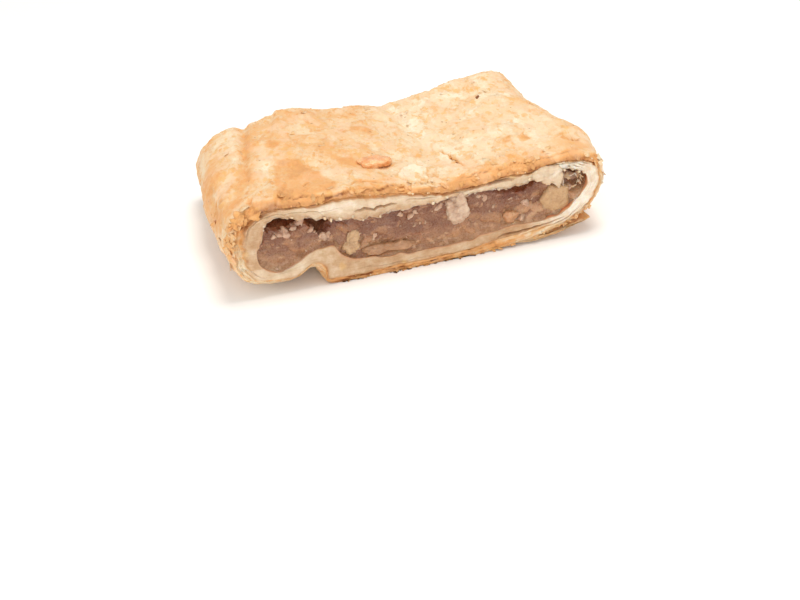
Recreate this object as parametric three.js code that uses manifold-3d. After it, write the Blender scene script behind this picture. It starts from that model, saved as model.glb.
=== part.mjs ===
// A slice of apple strudel: a flat puff pastry roll, cut straight across at the front and at the back.
// Millimetres, +Z up. X runs along the cut face, +Y from the front cut to the back cut, and the slice
// lies on z = 0 with the origin under the middle of its bounding box.
//
// The pastry is one sheet wrapped round the filling. Its end laps under the base, which leaves a seam
// that shows as a notch under the left part of the cut. The filling runs through from cut to cut, with
// air gaps under the roof where it has shrunk. Diced apple sits in pockets of the filling.
//
// A section of the slice is a closed outline through named stations, in the order left side, underside,
// right side, top. Each outline is given at the front and at the back cut and blends between them.
import * as THREE from "three";
import { mergeVertices } from "three/addons/utils/BufferGeometryUtils.js";
import Module from "manifold-3d";

const wasm = await Module();
wasm.setup();

// ---- Driving dimensions ------------------------------------------------------------------------
const DEPTH = 76; // from cut to cut
const CLEARANCE = 0.35; // between two pieces that touch
const FINEST_EDGE = 0.03; // shorter edges are merged

const PASTRY_ROUND = 100; // vertices round the pastry's section
const PASTRY_ROWS = 17; // rows along the outside of the crust
const BORE_ROWS = 7; // rows along the inside of the pastry
const LAYER_DEPTHS = [0.25, 1.1, 0.35, 0.9]; // how deep each ring across the wall lies in a cut
const FILLING_ROUND = 64;
const FILLING_ROWS = 7;
const FILLING_RINGS = 4;

const BLISTER = 0.45; // height of the crust's blisters
const RIPPLE = 0.7; // height of its long waves
const EDGE_ROLL = 0.7; // how far the crust draws in at a cut
const TOP_LAYER = 0.6; // thickness of the top layer, which has broken back from the cuts
const CUT_ROUGHNESS = 0.45;
const FILLING_ROUGHNESS = 1.0;

// Stations: 0 left side, 1 low, 2 heel, 3 underside, 4-6 seam notch, 7 lap edge, 8-10 base,
// 11 rising underside, 12 right heel, 13 low, 14 right side, 15 shoulder, 16-21 top, 22-24 left brow.
const RIGHT_STATION = 14;
const CRUST_FRONT = [
  [-58.4, 15.5], [-57.7, 9.5], [-53.6, 5], [-46.5, 3.1], [-39.6, 3.4],
  [-35.6, 5.3], [-33.2, 4.8], [-31.2, 0.9], [-26, 0], [-4, 0],
  [14, 0], [32, 1.5], [44, 3.4], [51.8, 8.2], [55.9, 16],
  [55.2, 22.6], [48.5, 25.8], [31, 25.6], [13, 24.2], [-6, 26],
  [-24, 28], [-40, 28.6], [-49.5, 27.6], [-55.6, 24.2], [-57.8, 20],
];
const CRUST_BACK = [
  [-55.9, 14], [-55.2, 8.8], [-51, 4.6], [-44.5, 3], [-38.6, 3.2],
  [-35.4, 5], [-33.2, 4.6], [-31, 0.9], [-26, 0], [-4, 0],
  [14, 0], [31, 0.8], [43.5, 2.8], [51, 8], [54.6, 16],
  [54.9, 24.4], [50, 29.2], [33, 27.8], [10, 24], [-8, 25.4],
  [-22, 26.8], [-34, 25.9], [-43, 24.3], [-50.5, 22], [-54, 18.6],
];
const BORE_FRONT = [
  [-50.9, 15.4], [-50.7, 12], [-48.9, 8.9], [-45.4, 7.2], [-40.4, 8.2],
  [-36, 10.6], [-32, 12.3], [-28, 12.1], [-25.6, 8.1], [-8, 5.4],
  [10, 5], [27, 7.2], [41, 7.8], [47.2, 11.3], [51.3, 16.5],
  [50.2, 20.6], [45.5, 22.7], [29.5, 20.5], [13, 20.6], [-7, 19.8],
  [-23, 19.7], [-36, 23.2], [-44, 24.6], [-47.6, 23.1], [-48.7, 19.4],
];
const BORE_BACK = [
  [-49.5, 14], [-48.8, 10.4], [-46.4, 8], [-43, 7], [-38.8, 7.6],
  [-35.4, 9.2], [-31.6, 10.2], [-28.2, 9.6], [-25, 6.6], [-6, 4.8],
  [11, 4.6], [28, 5.4], [39.5, 7.2], [46, 11], [49.6, 16.2],
  [49.3, 21], [45, 24.4], [30, 23.4], [10, 20], [-8, 21.2],
  [-21, 22.6], [-32, 21.9], [-40, 20.7], [-45.4, 19], [-48.4, 16.8],
];

// Air gaps between filling and roof: middle along X, half width, height, and the Y of their mouth.
const AIR_GAPS = [
  { x: -42.5, half: 6, drop: 4.4, mouth: -DEPTH / 2, reach: 22 },
  { x: -32, half: 3, drop: 6.2, mouth: -DEPTH / 2, reach: 18 },
  { x: 30, half: 9, drop: 1.8, mouth: -DEPTH / 2, reach: 12 },
  { x: 46, half: 3.5, drop: 3.0, mouth: -DEPTH / 2, reach: 9 },
  { x: 24, half: 10, drop: 2.6, mouth: DEPTH / 2, reach: 14 },
  { x: -30, half: 7, drop: 2.2, mouth: DEPTH / 2, reach: 12 },
];

// Diced apple that shows at the cuts: middle, size along X, Y and Z, and turn about Y.
const DICE = {
  apple_dice_right: { at: [41.8, -34.2, 12.5], size: [10, 7, 9.4], turn: 0.3 },
  apple_dice_pale: { at: [9.9, -35.6, 15.9], size: [6, 5.4, 8], turn: -0.3 },
  apple_dice_low: { at: [-22.8, -35.4, 11], size: [5.6, 4.6, 7.2], turn: -0.5 },
  apple_dice_amber: { at: [26.4, -35.6, 9.9], size: [5.6, 4.6, 4.4], turn: 0.1 },
  apple_slab: { at: [-9.6, -35.2, 7.9], size: [17, 5.6, 3.2], turn: 0.07 },
  apple_dice_back_1: { at: [33, 35.4, 13.4], size: [8.4, 6, 7.4], turn: -0.3 },
  apple_dice_back_2: { at: [-17, 35.6, 12.6], size: [6.4, 5, 6], turn: 0.4 },
  apple_dice_back_3: { at: [-40, 35.7, 12.4], size: [5, 4.6, 5.6], turn: 0.2 },
  apple_dice_back_4: { at: [9, 35.6, 9.2], size: [9, 5, 3.4], turn: 0.12 },
};
const DICE_SQUARENESS = 0.62; // 1 is an ellipsoid, towards 0 a box

// Cracks in the crust: a line of places near it, the width at the surface and the depth.
const CRACKS = [
  { line: [[13.1, -10.4, 25], [14.1, -15.1, 25], [15, -18.9, 25], [15.4, -23.2, 25], [16.3, -27.7, 25]], width: 0.9, depth: 0.6 },
  { line: [[51.6, 7.3, 28], [50.7, 1.8, 28], [51.4, -1.5, 28]], width: 0.9, depth: 0.6 },
  { line: [[-42.2, -20.6, 29], [-46.6, -25.3, 29], [-49.7, -29, 28], [-50.8, -35, 27]], width: 1.5, depth: 0.9 },
  { line: [[56.2, -2, 24], [57.6, -9.1, 22], [58.6, -14.1, 21], [58.6, -19, 19]], width: 1, depth: 0.9 },
  { line: [[-58, -4, 26], [-59, -5.2, 21.5], [-59, -6.2, 16]], width: 1, depth: 1 },
  { line: [[-58, -14, 23], [-58, -17, 21], [-58.5, -18.5, 18.5]], width: 1, depth: 0.9 },
  { line: [[55, 22, 14], [55, 14, 15], [55, 6, 13]], width: 0.9, depth: 0.8 },
  { line: [[-57, 27, 13], [-57, 20, 12], [-58, 12, 13]], width: 0.9, depth: 0.8 },
];

// Flakes that stand up from the top: corners as X and Y, and how far they stand up.
const TOP_FLAKES = [
  { corners: [[-42, -20], [-45.5, -25], [-48.6, -29.5], [-49.8, -36.5], [-44, -37], [-40.5, -31], [-38, -24]], rise: 0.7 },
  { corners: [[-5.9, -29], [-1.6, -22], [3.1, -20.5], [6.3, -23.5], [3.5, -27.5], [3, -32], [-1.5, -33.4]], rise: 0.6 },
];

// ---- Small helpers -----------------------------------------------------------------------------

/** Value from 0 to 1 that eases as x goes from low to high. */
const ease = (x, low, high) => THREE.MathUtils.smoothstep(x, low, high);

/** Bell of height 1 and the given half width. */
const bell = (distance, half) => Math.exp(-((distance / half) ** 2));

/** Seeded draws from 0 to 1. */
function drawer(seed) {
  let state = seed;
  return () => {
    state = (state * 1664525 + 1013904223) % 4294967296;
    return state / 4294967296;
  };
}

/** Hashed value from -1 to 1 at a lattice point. */
function lattice(i, j, k) {
  const wave = Math.sin(i * 127.1 + j * 311.7 + k * 74.7) * 43758.5453;
  return 2 * (wave - Math.floor(wave)) - 1;
}

/** Smooth noise from -1 to 1 with lumps of about the given size in millimetres. */
function noise(x, y, z, size) {
  const p = [x / size, y / size, z / size];
  const cell = p.map(Math.floor);
  const blend = p.map((value, axis) => ease(value - cell[axis], 0, 1));
  let sum = 0;
  for (let corner = 0; corner < 8; corner++) {
    const step = [corner & 1, (corner >> 1) & 1, corner >> 2];
    const weight = step.reduce((product, s, axis) => product * (s ? blend[axis] : 1 - blend[axis]), 1);
    sum += weight * lattice(cell[0] + step[0], cell[1] + step[1], cell[2] + step[2]);
  }
  return sum;
}

/** Points evenly spaced in length along a part of a closed curve, the last one left out. */
function evenly(curve, from, to, count) {
  const fine = 12 * count;
  const points = Array.from({ length: fine + 1 }, (_, i) => curve.getPoint(from + ((to - from) * i) / fine));
  const lengths = [0];
  for (let i = 1; i <= fine; i++) lengths.push(lengths[i - 1] + points[i].distanceTo(points[i - 1]));
  const result = [];
  for (let k = 0, i = 0; k < count; k++) {
    const want = (lengths[fine] * k) / count;
    while (i < fine - 1 && lengths[i + 1] < want) i++;
    const share = (want - lengths[i]) / (lengths[i + 1] - lengths[i] || 1);
    result.push(points[i].clone().lerp(points[i + 1], share));
  }
  return result;
}

/**
 * A ring of `count` points round the section at y, blended between two outlines. Half of them run
 * along the underside from left to right and half along the top, so that point k and point count - k
 * lie above each other.
 */
function section(front, back, y, count) {
  const share = y / DEPTH + 0.5;
  const stations = front.map(([x, z], i) => {
    const [farX, farZ] = back[i];
    return new THREE.Vector3(THREE.MathUtils.lerp(x, farX, share), y, THREE.MathUtils.lerp(z, farZ, share));
  });
  const curve = new THREE.CatmullRomCurve3(stations, true, "centripetal");
  const right = RIGHT_STATION / stations.length;
  return [...evenly(curve, 0, right, count / 2), ...evenly(curve, right, 1, count / 2)];
}

/** Outward direction of a ring at each of its points, in the plane of the section. */
function outward(ring) {
  return ring.map((_, k) => {
    const before = ring.at(k - 1);
    const after = ring[(k + 1) % ring.length];
    return new THREE.Vector3(after.z - before.z, 0, before.x - after.x).normalize();
  });
}

/** Moves each point of a ring outwards by a distance that depends on where it is. */
function pushed(ring, distance) {
  const directions = outward(ring);
  return ring.map((p, k) => p.clone().addScaledVector(directions[k], distance(p, directions[k])));
}

/** Triangles over rings of equal length, each joined to the next, and the last to the first if closed. */
function skin(rings, closed) {
  const count = rings[0].length;
  const index = [];
  const last = closed ? rings.length : rings.length - 1;
  for (let row = 0; row < last; row++) {
    const next = (row + 1) % rings.length;
    for (let k = 0; k < count; k++) {
      const a = row * count + k;
      const b = row * count + ((k + 1) % count);
      const c = next * count + k;
      const d = next * count + ((k + 1) % count);
      index.push(a, c, b, b, c, d);
    }
  }
  return new THREE.BufferGeometry().setFromPoints(rings.flat()).setIndex(index);
}

/** A closed geometry as a manifold-3d solid, with its faces turned to point out. */
function solid(geometry) {
  const bare = geometry.clone();
  bare.deleteAttribute("normal");
  bare.deleteAttribute("uv");
  const merged = mergeVertices(bare, 1e-4);
  const index = Array.from(merged.index.array);
  const corner = (i) => new THREE.Vector3().fromBufferAttribute(merged.attributes.position, i);
  let triVerts = [];
  let volume = 0;
  for (let i = 0; i < index.length; i += 3) {
    const [a, b, c] = index.slice(i, i + 3);
    if (a !== b && b !== c && a !== c) triVerts.push(a, b, c);
    volume += corner(a).dot(corner(b).cross(corner(c)));
  }
  if (volume < 0) triVerts = triVerts.reverse();
  return new wasm.Manifold(
    new wasm.Mesh({
      numProp: 3,
      vertProperties: new Float32Array(merged.attributes.position.array),
      triVerts: new Uint32Array(triVerts),
    }),
  );
}

/** The largest body of a solid: a cut or a join can leave loose scraps. */
function largest(shape) {
  return shape.decompose().reduce((best, body) => (body.volume() > best.volume() ? body : best));
}

/** A solid as a named mesh, without the slivers that cuts and joins leave. */
function mesh(name, shape, material) {
  const { vertProperties, triVerts, numProp } = largest(shape.simplify(FINEST_EDGE)).getMesh();
  const positions = [];
  for (let i = 0; i < vertProperties.length; i += numProp) positions.push(...vertProperties.slice(i, i + 3));
  const geometry = new THREE.BufferGeometry();
  geometry.setAttribute("position", new THREE.Float32BufferAttribute(positions, 3));
  geometry.setIndex(Array.from(triVerts));
  geometry.computeVertexNormals();
  const result = new THREE.Mesh(geometry, material);
  result.name = name;
  return result;
}

/** A lump with softened corners and an uneven skin. */
function lump({ at, size, turn = 0, squareness = DICE_SQUARENESS, detail = 2, uneven = 0.06, grow = 0 }) {
  const geometry = new THREE.IcosahedronGeometry(1, detail);
  const position = geometry.attributes.position;
  const p = new THREE.Vector3();
  for (let i = 0; i < position.count; i++) {
    p.fromBufferAttribute(position, i);
    const swell = 1 + uneven * noise(p.x + at[0], p.y + at[1], p.z + at[2], 0.9);
    const corner = (value, side) => Math.sign(value) * Math.abs(value) ** squareness * (side / 2 + grow) * swell;
    position.setXYZ(i, corner(p.x, size[0]), corner(p.y, size[1]), corner(p.z, size[2]));
  }
  return geometry.rotateY(turn).translate(...at);
}

// ---- Pastry ------------------------------------------------------------------------------------

/** X of the crease that runs from the back cut towards the front, across the top. */
const creaseX = (y) => 11.2 - (y > 0 ? 0.0028 : 0.008) * y * y;

/** X of the left edge of the raised part of the top. */
const terraceX = (y) => -35.6 + 7.4 * ease(y, 0, 42);

/** How far the top layer has broken back from the nearer cut. */
const brokenBack = (x, y) => 3 + 1.7 * noise(x, Math.sign(y), 0, 7) + 1.3 * noise(x, Math.sign(y), 9, 2.5);

/** Height of the crust above its smooth section at a point whose outward direction is given. */
function crustRelief(p, direction) {
  const up = ease(direction.z, 0.2, 0.8);
  const fromFloor = ease(p.z, 0.6, 4);
  const toCut = DEPTH / 2 - Math.abs(p.y);
  const crease = -1.1 * bell(p.x - creaseX(p.y), 2.6) * ease(p.y, -26, -8);
  const terrace = 1.6 * ease(p.x - terraceX(p.y), -1.2, 1.2) * (1 - ease(p.x, -24, -10)) * ease(p.y, -4, 40);
  const leftFold = -1.2 * bell(p.x + 46.5 - 0.17 * (p.y + 5), 1.7) * ease(p.y, -26, -6);
  const step = -TOP_LAYER * (1 - ease(toCut - brokenBack(p.x, p.y), -0.6, 0.6));
  const flank = Math.abs(direction.x);
  const leftSwell = p.x < 0 ? 1.9 * flank * bell(p.y + 4, 30) : 0;
  const rightSwell = p.x > 0 ? flank * (4.3 * bell(p.y + 18, 13) - 0.9 * bell(p.y - 14, 10)) : 0;
  const grooves = -0.6 * flank * Math.max(0, noise(0.15 * p.y, p.z * 1.4, p.x > 0 ? 9 : 3, 2.4));
  const waves = RIPPLE * noise(p.x, p.y, p.z, 17) + BLISTER * noise(p.x, p.y, p.z, 6.5);
  const roll = -EDGE_ROLL * (1 - ease(toCut, 0, 3.2));
  return fromFloor * (up * (crease + terrace + leftFold + step) + leftSwell + rightSwell + grooves + waves + roll);
}

/** Roughness of a cut through pastry, more at the loose layers of the left side. */
function cutRelief(x, z, side) {
  const loose = 1 + 1.6 * (1 - ease(x, -54, -49)) * (side < 0 ? 1 : 0.5);
  return loose * (CUT_ROUGHNESS * Math.abs(noise(x, side, z, 2.6)) + 0.3 * Math.abs(noise(x, side, z, 7)));
}

/** The rings across the wall on one cut face, from the crust to the bore. */
function cutRings(crust, bore, side) {
  return LAYER_DEPTHS.map((depth, i) => {
    const share = (i + 1) / (LAYER_DEPTHS.length + 1);
    return crust.map((p, k) => {
      const q = p.clone().lerp(bore[k], share);
      q.y = side * (DEPTH / 2 - depth * (0.6 + 0.4 * noise(q.x, i, q.z, 9)) - cutRelief(q.x, q.z, side));
      return q;
    });
  });
}

/** The outside of the crust at y, frayed where that is a cut. */
function crustRing(y) {
  const ring = pushed(section(CRUST_FRONT, CRUST_BACK, y, PASTRY_ROUND), crustRelief);
  const fray = Math.abs(y) === DEPTH / 2 ? 0.9 : 0;
  for (const p of ring) {
    p.z = Math.max(p.z, 0);
    p.y -= Math.sign(y) * fray * Math.max(0, noise(p.x, y, p.z, 3));
  }
  return ring;
}

/** The point of the crust nearest to a place, and the outward direction there. */
function onCrust([x, y, z]) {
  const ring = crustRing(y);
  const directions = outward(ring);
  const place = new THREE.Vector3(x, y, z);
  const line = new THREE.Line3();
  let best = { distance: Infinity };
  ring.forEach((p, k) => {
    const point = line.set(p, ring[(k + 1) % ring.length]).closestPointToPoint(place, true, new THREE.Vector3());
    const distance = point.distanceTo(place);
    if (distance < best.distance) best = { distance, point, direction: directions[k] };
  });
  return best;
}

/** The inside of the pastry at y, more ragged at a cut. */
function boreRing(y) {
  const ragged = 0.25 + 0.35 * (1 - ease(DEPTH / 2 - Math.abs(y), 0, 5));
  return pushed(section(BORE_FRONT, BORE_BACK, y, PASTRY_ROUND), (p) => ragged * noise(p.x, p.y, p.z, 2.8));
}

/** Places from one cut to the other, closer together near the cuts. */
function stops(count) {
  return Array.from({ length: count }, (_, i) => {
    const share = (2 * i) / (count - 1) - 1;
    return (DEPTH / 2) * (0.5 * share + 0.5 * Math.sin((share * Math.PI) / 2));
  });
}

/** The wrapped sheet without its loose flakes, closed like a ring over both cut faces. */
function pastryWrap() {
  const crust = stops(PASTRY_ROWS).map(crustRing);
  const bore = stops(BORE_ROWS).map(boreRing).reverse();
  const backCut = cutRings(crust.at(-1), bore[0], 1);
  const frontCut = cutRings(crust[0], bore.at(-1), -1).reverse();
  return solid(skin([...crust, ...backCut, ...bore, ...frontCut], true));
}

/** A flake of pastry: an outline in a vertical plane, given thickness along Y from `front`. */
function uprightFlake(points, front, thickness) {
  const shape = new THREE.Shape(points.map(([x, z]) => new THREE.Vector2(x, z)));
  const geometry = new THREE.ExtrudeGeometry(shape, { depth: thickness, bevelEnabled: false });
  return solid(geometry.rotateX(Math.PI / 2).translate(0, front + thickness, 0));
}

/** A flake that stands up from the crust over an outline seen from above. */
function topFlake({ corners, rise }) {
  const shape = new THREE.Shape(corners.map(([x, y]) => new THREE.Vector2(x, y)));
  const geometry = new THREE.ExtrudeGeometry(shape, { depth: 1, bevelEnabled: false });
  const position = geometry.attributes.position;
  for (let i = 0; i < position.count; i++) {
    const { point } = onCrust([position.getX(i), position.getY(i), 27]);
    const height = position.getZ(i) > 0.5 ? rise + 0.25 * noise(point.x, point.y, 5, 3) : -1;
    position.setXYZ(i, point.x, point.y, point.z + height);
  }
  return solid(geometry);
}

/** A wedge that cuts a crack into the crust and ends in a point at both ends. */
function crackWedge({ line, width, depth }) {
  const places = line.map(onCrust);
  const rings = places.map(({ point, direction }, i) => {
    if (i === 0 || i === places.length - 1) return [point, point, point];
    const along = places[i + 1].point.clone().sub(places[i - 1].point).normalize();
    const across = along.cross(direction).normalize().multiplyScalar(width);
    const above = point.clone().addScaledVector(direction, depth);
    return [above.clone().add(across), above.clone().sub(across), point.clone().addScaledVector(direction, -depth)];
  });
  return solid(skin(rings, false));
}

/** The strip of crust that peels off under the right heel: a thin section that closes up to the rear. */
function heelStrip() {
  const profile = [[24, 0.6], [35, 1.2], [43.4, 2.3], [48.4, 3.4], [53.2, 6], [48.2, 4.5], [43, 3.5], [35, 2.7], [24, 2.4]];
  const rings = [0, 0.25, 0.5, 0.75, 1].map((share) =>
    profile.map(([x, z]) => {
      const y = -DEPTH / 2 + 0.5 * (x > 40 ? Math.abs(noise(x, 0, 0, 2)) : 0) + 22 * share;
      return new THREE.Vector3(24 + (x - 24) * (1 - 0.3 * share ** 2), y, z + 2.4 * share ** 1.5);
    }),
  );
  const closed = [rings[0].map(() => rings[0][0]), ...rings, rings.at(-1).map(() => rings.at(-1)[0])];
  return solid(skin(closed, false));
}

/** Loose crust that shows: what hangs from the roof, peels under the right heel and stands up from the top. */
function flakes() {
  const roofFlap = [[33.6, 22.6], [42.2, 23.6], [42.9, 18.6], [41, 17.8], [38.4, 19.4], [34.8, 20]];
  const crumb = lump({ at: [36.5, 16.5, 27.1], size: [2.6, 1.9, 2], detail: 1, uneven: 0.3 });
  return [uprightFlake(roofFlap, -DEPTH / 2 + 0.1, 1), heelStrip(), ...TOP_FLAKES.map(topFlake), solid(crumb)];
}

/** The whole pastry: the wrap with its flakes joined on and its cracks cut in. */
function pastrySolid() {
  const whole = flakes().reduce((shape, flake) => shape.add(flake), pastryWrap());
  return largest(CRACKS.map(crackWedge).reduce((shape, wedge) => shape.subtract(wedge), whole));
}

// ---- Filling -----------------------------------------------------------------------------------

/** Height of the air between filling and roof. */
function airAbove(x, y) {
  return AIR_GAPS.reduce(
    (sum, gap) => sum + gap.drop * bell(x - gap.x, gap.half) * (1 - ease(Math.abs(y - gap.mouth), 0, gap.reach)),
    0,
  );
}

/** The filling's section at y, clear of the pastry and sunk under its air gaps. */
function fillingRing(y) {
  const ring = pushed(
    section(BORE_FRONT, BORE_BACK, y, FILLING_ROUND),
    (p) => -(CLEARANCE + 0.25 + 0.15 * noise(p.x, p.y, p.z, 4)),
  );
  const directions = outward(ring);
  ring.forEach((p, k) => {
    p.z -= airAbove(p.x, y) * ease(directions[k].z, 0.1, 0.7);
  });
  return ring;
}

/** Rings over one cut face of the filling, from its rim to a line along its middle. */
function fillingCut(rim, side) {
  const count = rim.length;
  const centre = new THREE.Vector3(0, 0, 14);
  const spine = rim.map((p, k) => {
    const middle = p.clone().add(rim[(count - k) % count]).multiplyScalar(0.5);
    middle.x = centre.x + 0.93 * (middle.x - centre.x);
    return middle;
  });
  return Array.from({ length: FILLING_RINGS }, (_, i) => {
    const share = (i + 1) / FILLING_RINGS;
    return rim.map((p, k) => {
      const q = p.clone().lerp(spine[k], share);
      const rough = FILLING_ROUGHNESS * noise(q.x, side, q.z, 4.2) + 0.4 * noise(q.x, side, q.z, 2);
      q.y = side * (DEPTH / 2 - 1.3 + rough * Math.min(1, 2 * share));
      return q;
    });
  });
}

/** Crumbs of apple and nut that stand out of the filling's cuts. */
function fillingBits() {
  const draw = drawer(11);
  const bits = [];
  for (const side of [-1, 1]) {
    for (let i = 0; i < 16; i++) {
      const x = -46 + 92 * ((i + 0.7 * draw()) / 16);
      const z = 9.5 + 7.5 * draw();
      const size = [2 + 1.6 * draw(), 2.4, 1.6 + 1.4 * draw()];
      const at = [x, side * (DEPTH / 2 - 1.4 - 0.5 * draw()), z];
      bits.push(solid(lump({ at, size, turn: 2 * draw(), detail: 0, uneven: 0.2 })));
    }
  }
  return bits;
}

/** The filling without the pockets of the dice. */
function fillingSolid(dicePockets, pastryRoom) {
  const rims = stops(FILLING_ROWS).map(fillingRing);
  rims[0].forEach((p) => (p.y = -DEPTH / 2 + 1.3));
  rims.at(-1).forEach((p) => (p.y = DEPTH / 2 - 1.3));
  const frontCut = fillingCut(rims[0], -1).reverse();
  const backCut = fillingCut(rims.at(-1), 1);
  const core = solid(skin([...frontCut, ...rims, ...backCut], false));
  const withBits = fillingBits().reduce((shape, bit) => shape.add(bit), core);
  return largest(dicePockets.reduce((shape, pocket) => shape.subtract(pocket), withBits.subtract(pastryRoom)));
}

// ---- Assembly ----------------------------------------------------------------------------------

/** A solid and its copies moved a little each way, to cut a clearance round it. */
function withRoom(shape) {
  const steps = [[1, 0, 0], [-1, 0, 0], [0, 0, 1], [0, 0, -1]];
  return steps.reduce((all, step) => all.add(shape.translate(step.map((s) => s * CLEARANCE))), shape);
}

const materials = {
  crust: new THREE.MeshStandardMaterial({ color: "#e9bd85", roughness: 0.62, metalness: 0 }),
  filling: new THREE.MeshStandardMaterial({ color: "#9c7660", roughness: 0.4, metalness: 0 }),
  apple: new THREE.MeshStandardMaterial({ color: "#c9a577", roughness: 0.3, metalness: 0 }),
  glazedFruit: new THREE.MeshStandardMaterial({ color: "#e2945a", roughness: 0.3, metalness: 0 }),
};

const pastry = pastrySolid();
const pastryRoom = withRoom(pastry);
const dice = Object.entries(DICE);
const dicePockets = dice.map(([, size]) => solid(lump({ ...size, detail: 1, grow: CLEARANCE + 0.1 })));

const strudel = new THREE.Group();
strudel.add(mesh("pastry", pastry, materials.crust));
strudel.add(mesh("filling", fillingSolid(dicePockets, pastryRoom), materials.filling));
for (const [name, size] of dice) {
  strudel.add(mesh(name, largest(solid(lump({ ...size, detail: 1 })).subtract(pastryRoom)), materials.apple));
}
const fruitBit = solid(lump({ at: [-9.3, -17, 26.4], size: [9.8, 6.8, 3], turn: 0.05, squareness: 0.85 }));
strudel.add(mesh("glazed_fruit_bit", largest(fruitBit.subtract(pastryRoom)), materials.glazedFruit));

export default strudel;
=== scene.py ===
"""Looks of a slice of apple strudel: flaky golden pastry wrapped round a moist apple filling.

Shapes are worked out in millimetres in the row frame (X along the cut face, +Y from the front cut to the
back cut, +Z up) and turned to metres when a mesh is made. The outlines and the large relief are the same
formulas as the solids'; everything finer than about a millimetre is added here.
"""
import logging
import math
from dataclasses import dataclass, field
from enum import Enum, IntEnum
from typing import Sequence

import bpy
import numpy as np
from mathutils import Matrix, Vector


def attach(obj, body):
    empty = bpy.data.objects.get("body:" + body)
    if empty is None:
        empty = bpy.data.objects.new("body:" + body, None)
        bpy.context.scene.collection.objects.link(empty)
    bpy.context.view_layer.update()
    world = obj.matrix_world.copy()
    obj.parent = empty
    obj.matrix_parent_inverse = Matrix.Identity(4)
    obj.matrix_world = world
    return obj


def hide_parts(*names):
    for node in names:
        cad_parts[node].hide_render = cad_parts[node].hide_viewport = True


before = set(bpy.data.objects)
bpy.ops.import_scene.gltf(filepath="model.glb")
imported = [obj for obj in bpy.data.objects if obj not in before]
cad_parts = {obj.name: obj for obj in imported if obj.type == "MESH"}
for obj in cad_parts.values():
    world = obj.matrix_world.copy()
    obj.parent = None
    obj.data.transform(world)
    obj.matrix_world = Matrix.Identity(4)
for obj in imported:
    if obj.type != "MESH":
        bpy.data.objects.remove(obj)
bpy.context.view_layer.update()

LOG = logging.getLogger("strudel")
MM = 0.001
ANY_TURN = 6.3  # radians, the range of random turns
Array = np.ndarray
Material = bpy.types.Material
Socket = bpy.types.NodeSocket
Inputs = dict[int | str, object] | Sequence[object]
Ramp = Sequence[tuple[float, str]]


class Side(IntEnum):
    """A cut of the slice, as the sign of its Y."""

    FRONT = -1
    BACK = 1


class Slot(Enum):
    """The record's material slots."""

    CRUST = "crust"
    FILLING = "filling"
    APPLE = "apple"
    GLAZED_FRUIT = "glazed_fruit"



# ---- Named sizes, millimetres ----------------------------------------------------------------------
DEPTH = 76.0
HALF = DEPTH / 2
RIGHT_STATION = 14  # the station where the underside ends and the top begins
CRUST_FRONT = (
    (-58.4, 15.5), (-57.7, 9.5), (-53.6, 5), (-46.5, 3.1), (-39.6, 3.4),
    (-35.6, 5.3), (-33.2, 4.8), (-31.2, 0.9), (-26, 0), (-4, 0),
    (14, 0), (32, 1.5), (44, 3.4), (51.8, 8.2), (55.9, 16),
    (55.2, 22.6), (48.5, 25.8), (31, 25.6), (13, 24.2), (-6, 26),
    (-24, 28), (-40, 28.6), (-49.5, 27.6), (-55.6, 24.2), (-57.8, 20),
)
CRUST_BACK = (
    (-55.9, 14), (-55.2, 8.8), (-51, 4.6), (-44.5, 3), (-38.6, 3.2),
    (-35.4, 5), (-33.2, 4.6), (-31, 0.9), (-26, 0), (-4, 0),
    (14, 0), (31, 0.8), (43.5, 2.8), (51, 8), (54.6, 16),
    (54.9, 24.4), (50, 29.2), (33, 27.8), (10, 24), (-8, 25.4),
    (-22, 26.8), (-34, 25.9), (-43, 24.3), (-50.5, 22), (-54, 18.6),
)
BORE_FRONT = (
    (-50.9, 15.4), (-50.7, 12), (-48.9, 8.9), (-45.4, 7.2), (-40.4, 8.2),
    (-36, 10.6), (-32, 12.3), (-28, 12.1), (-25.6, 8.1), (-8, 5.4),
    (10, 5), (27, 7.2), (41, 7.8), (47.2, 11.3), (51.3, 16.5),
    (50.2, 20.6), (45.5, 22.7), (29.5, 20.5), (13, 20.6), (-7, 19.8),
    (-23, 19.7), (-36, 23.2), (-44, 24.6), (-47.6, 23.1), (-48.7, 19.4),
)
BORE_BACK = (
    (-49.5, 14), (-48.8, 10.4), (-46.4, 8), (-43, 7), (-38.8, 7.6),
    (-35.4, 9.2), (-31.6, 10.2), (-28.2, 9.6), (-25, 6.6), (-6, 4.8),
    (11, 4.6), (28, 5.4), (39.5, 7.2), (46, 11), (49.6, 16.2),
    (49.3, 21), (45, 24.4), (30, 23.4), (10, 20), (-8, 21.2),
    (-21, 22.6), (-32, 21.9), (-40, 20.7), (-45.4, 19), (-48.4, 16.8),
)


# ---- Fields ------------------------------------------------------------------------------------------
def ease(x: Array, low: float | Array, high: float | Array) -> Array:
    """Share s of the way of x from low to high, held from 0 to 1 and eased as s^2 (3 - 2 s)."""
    share = np.clip((x - low) / (high - low), 0.0, 1.0)
    return share * share * (3.0 - 2.0 * share)


def bell(distance: Array, half: float) -> Array:
    """Bell exp(-(distance / half)^2), of height 1 at its middle."""
    return np.exp(-((distance / half) ** 2))


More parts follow.
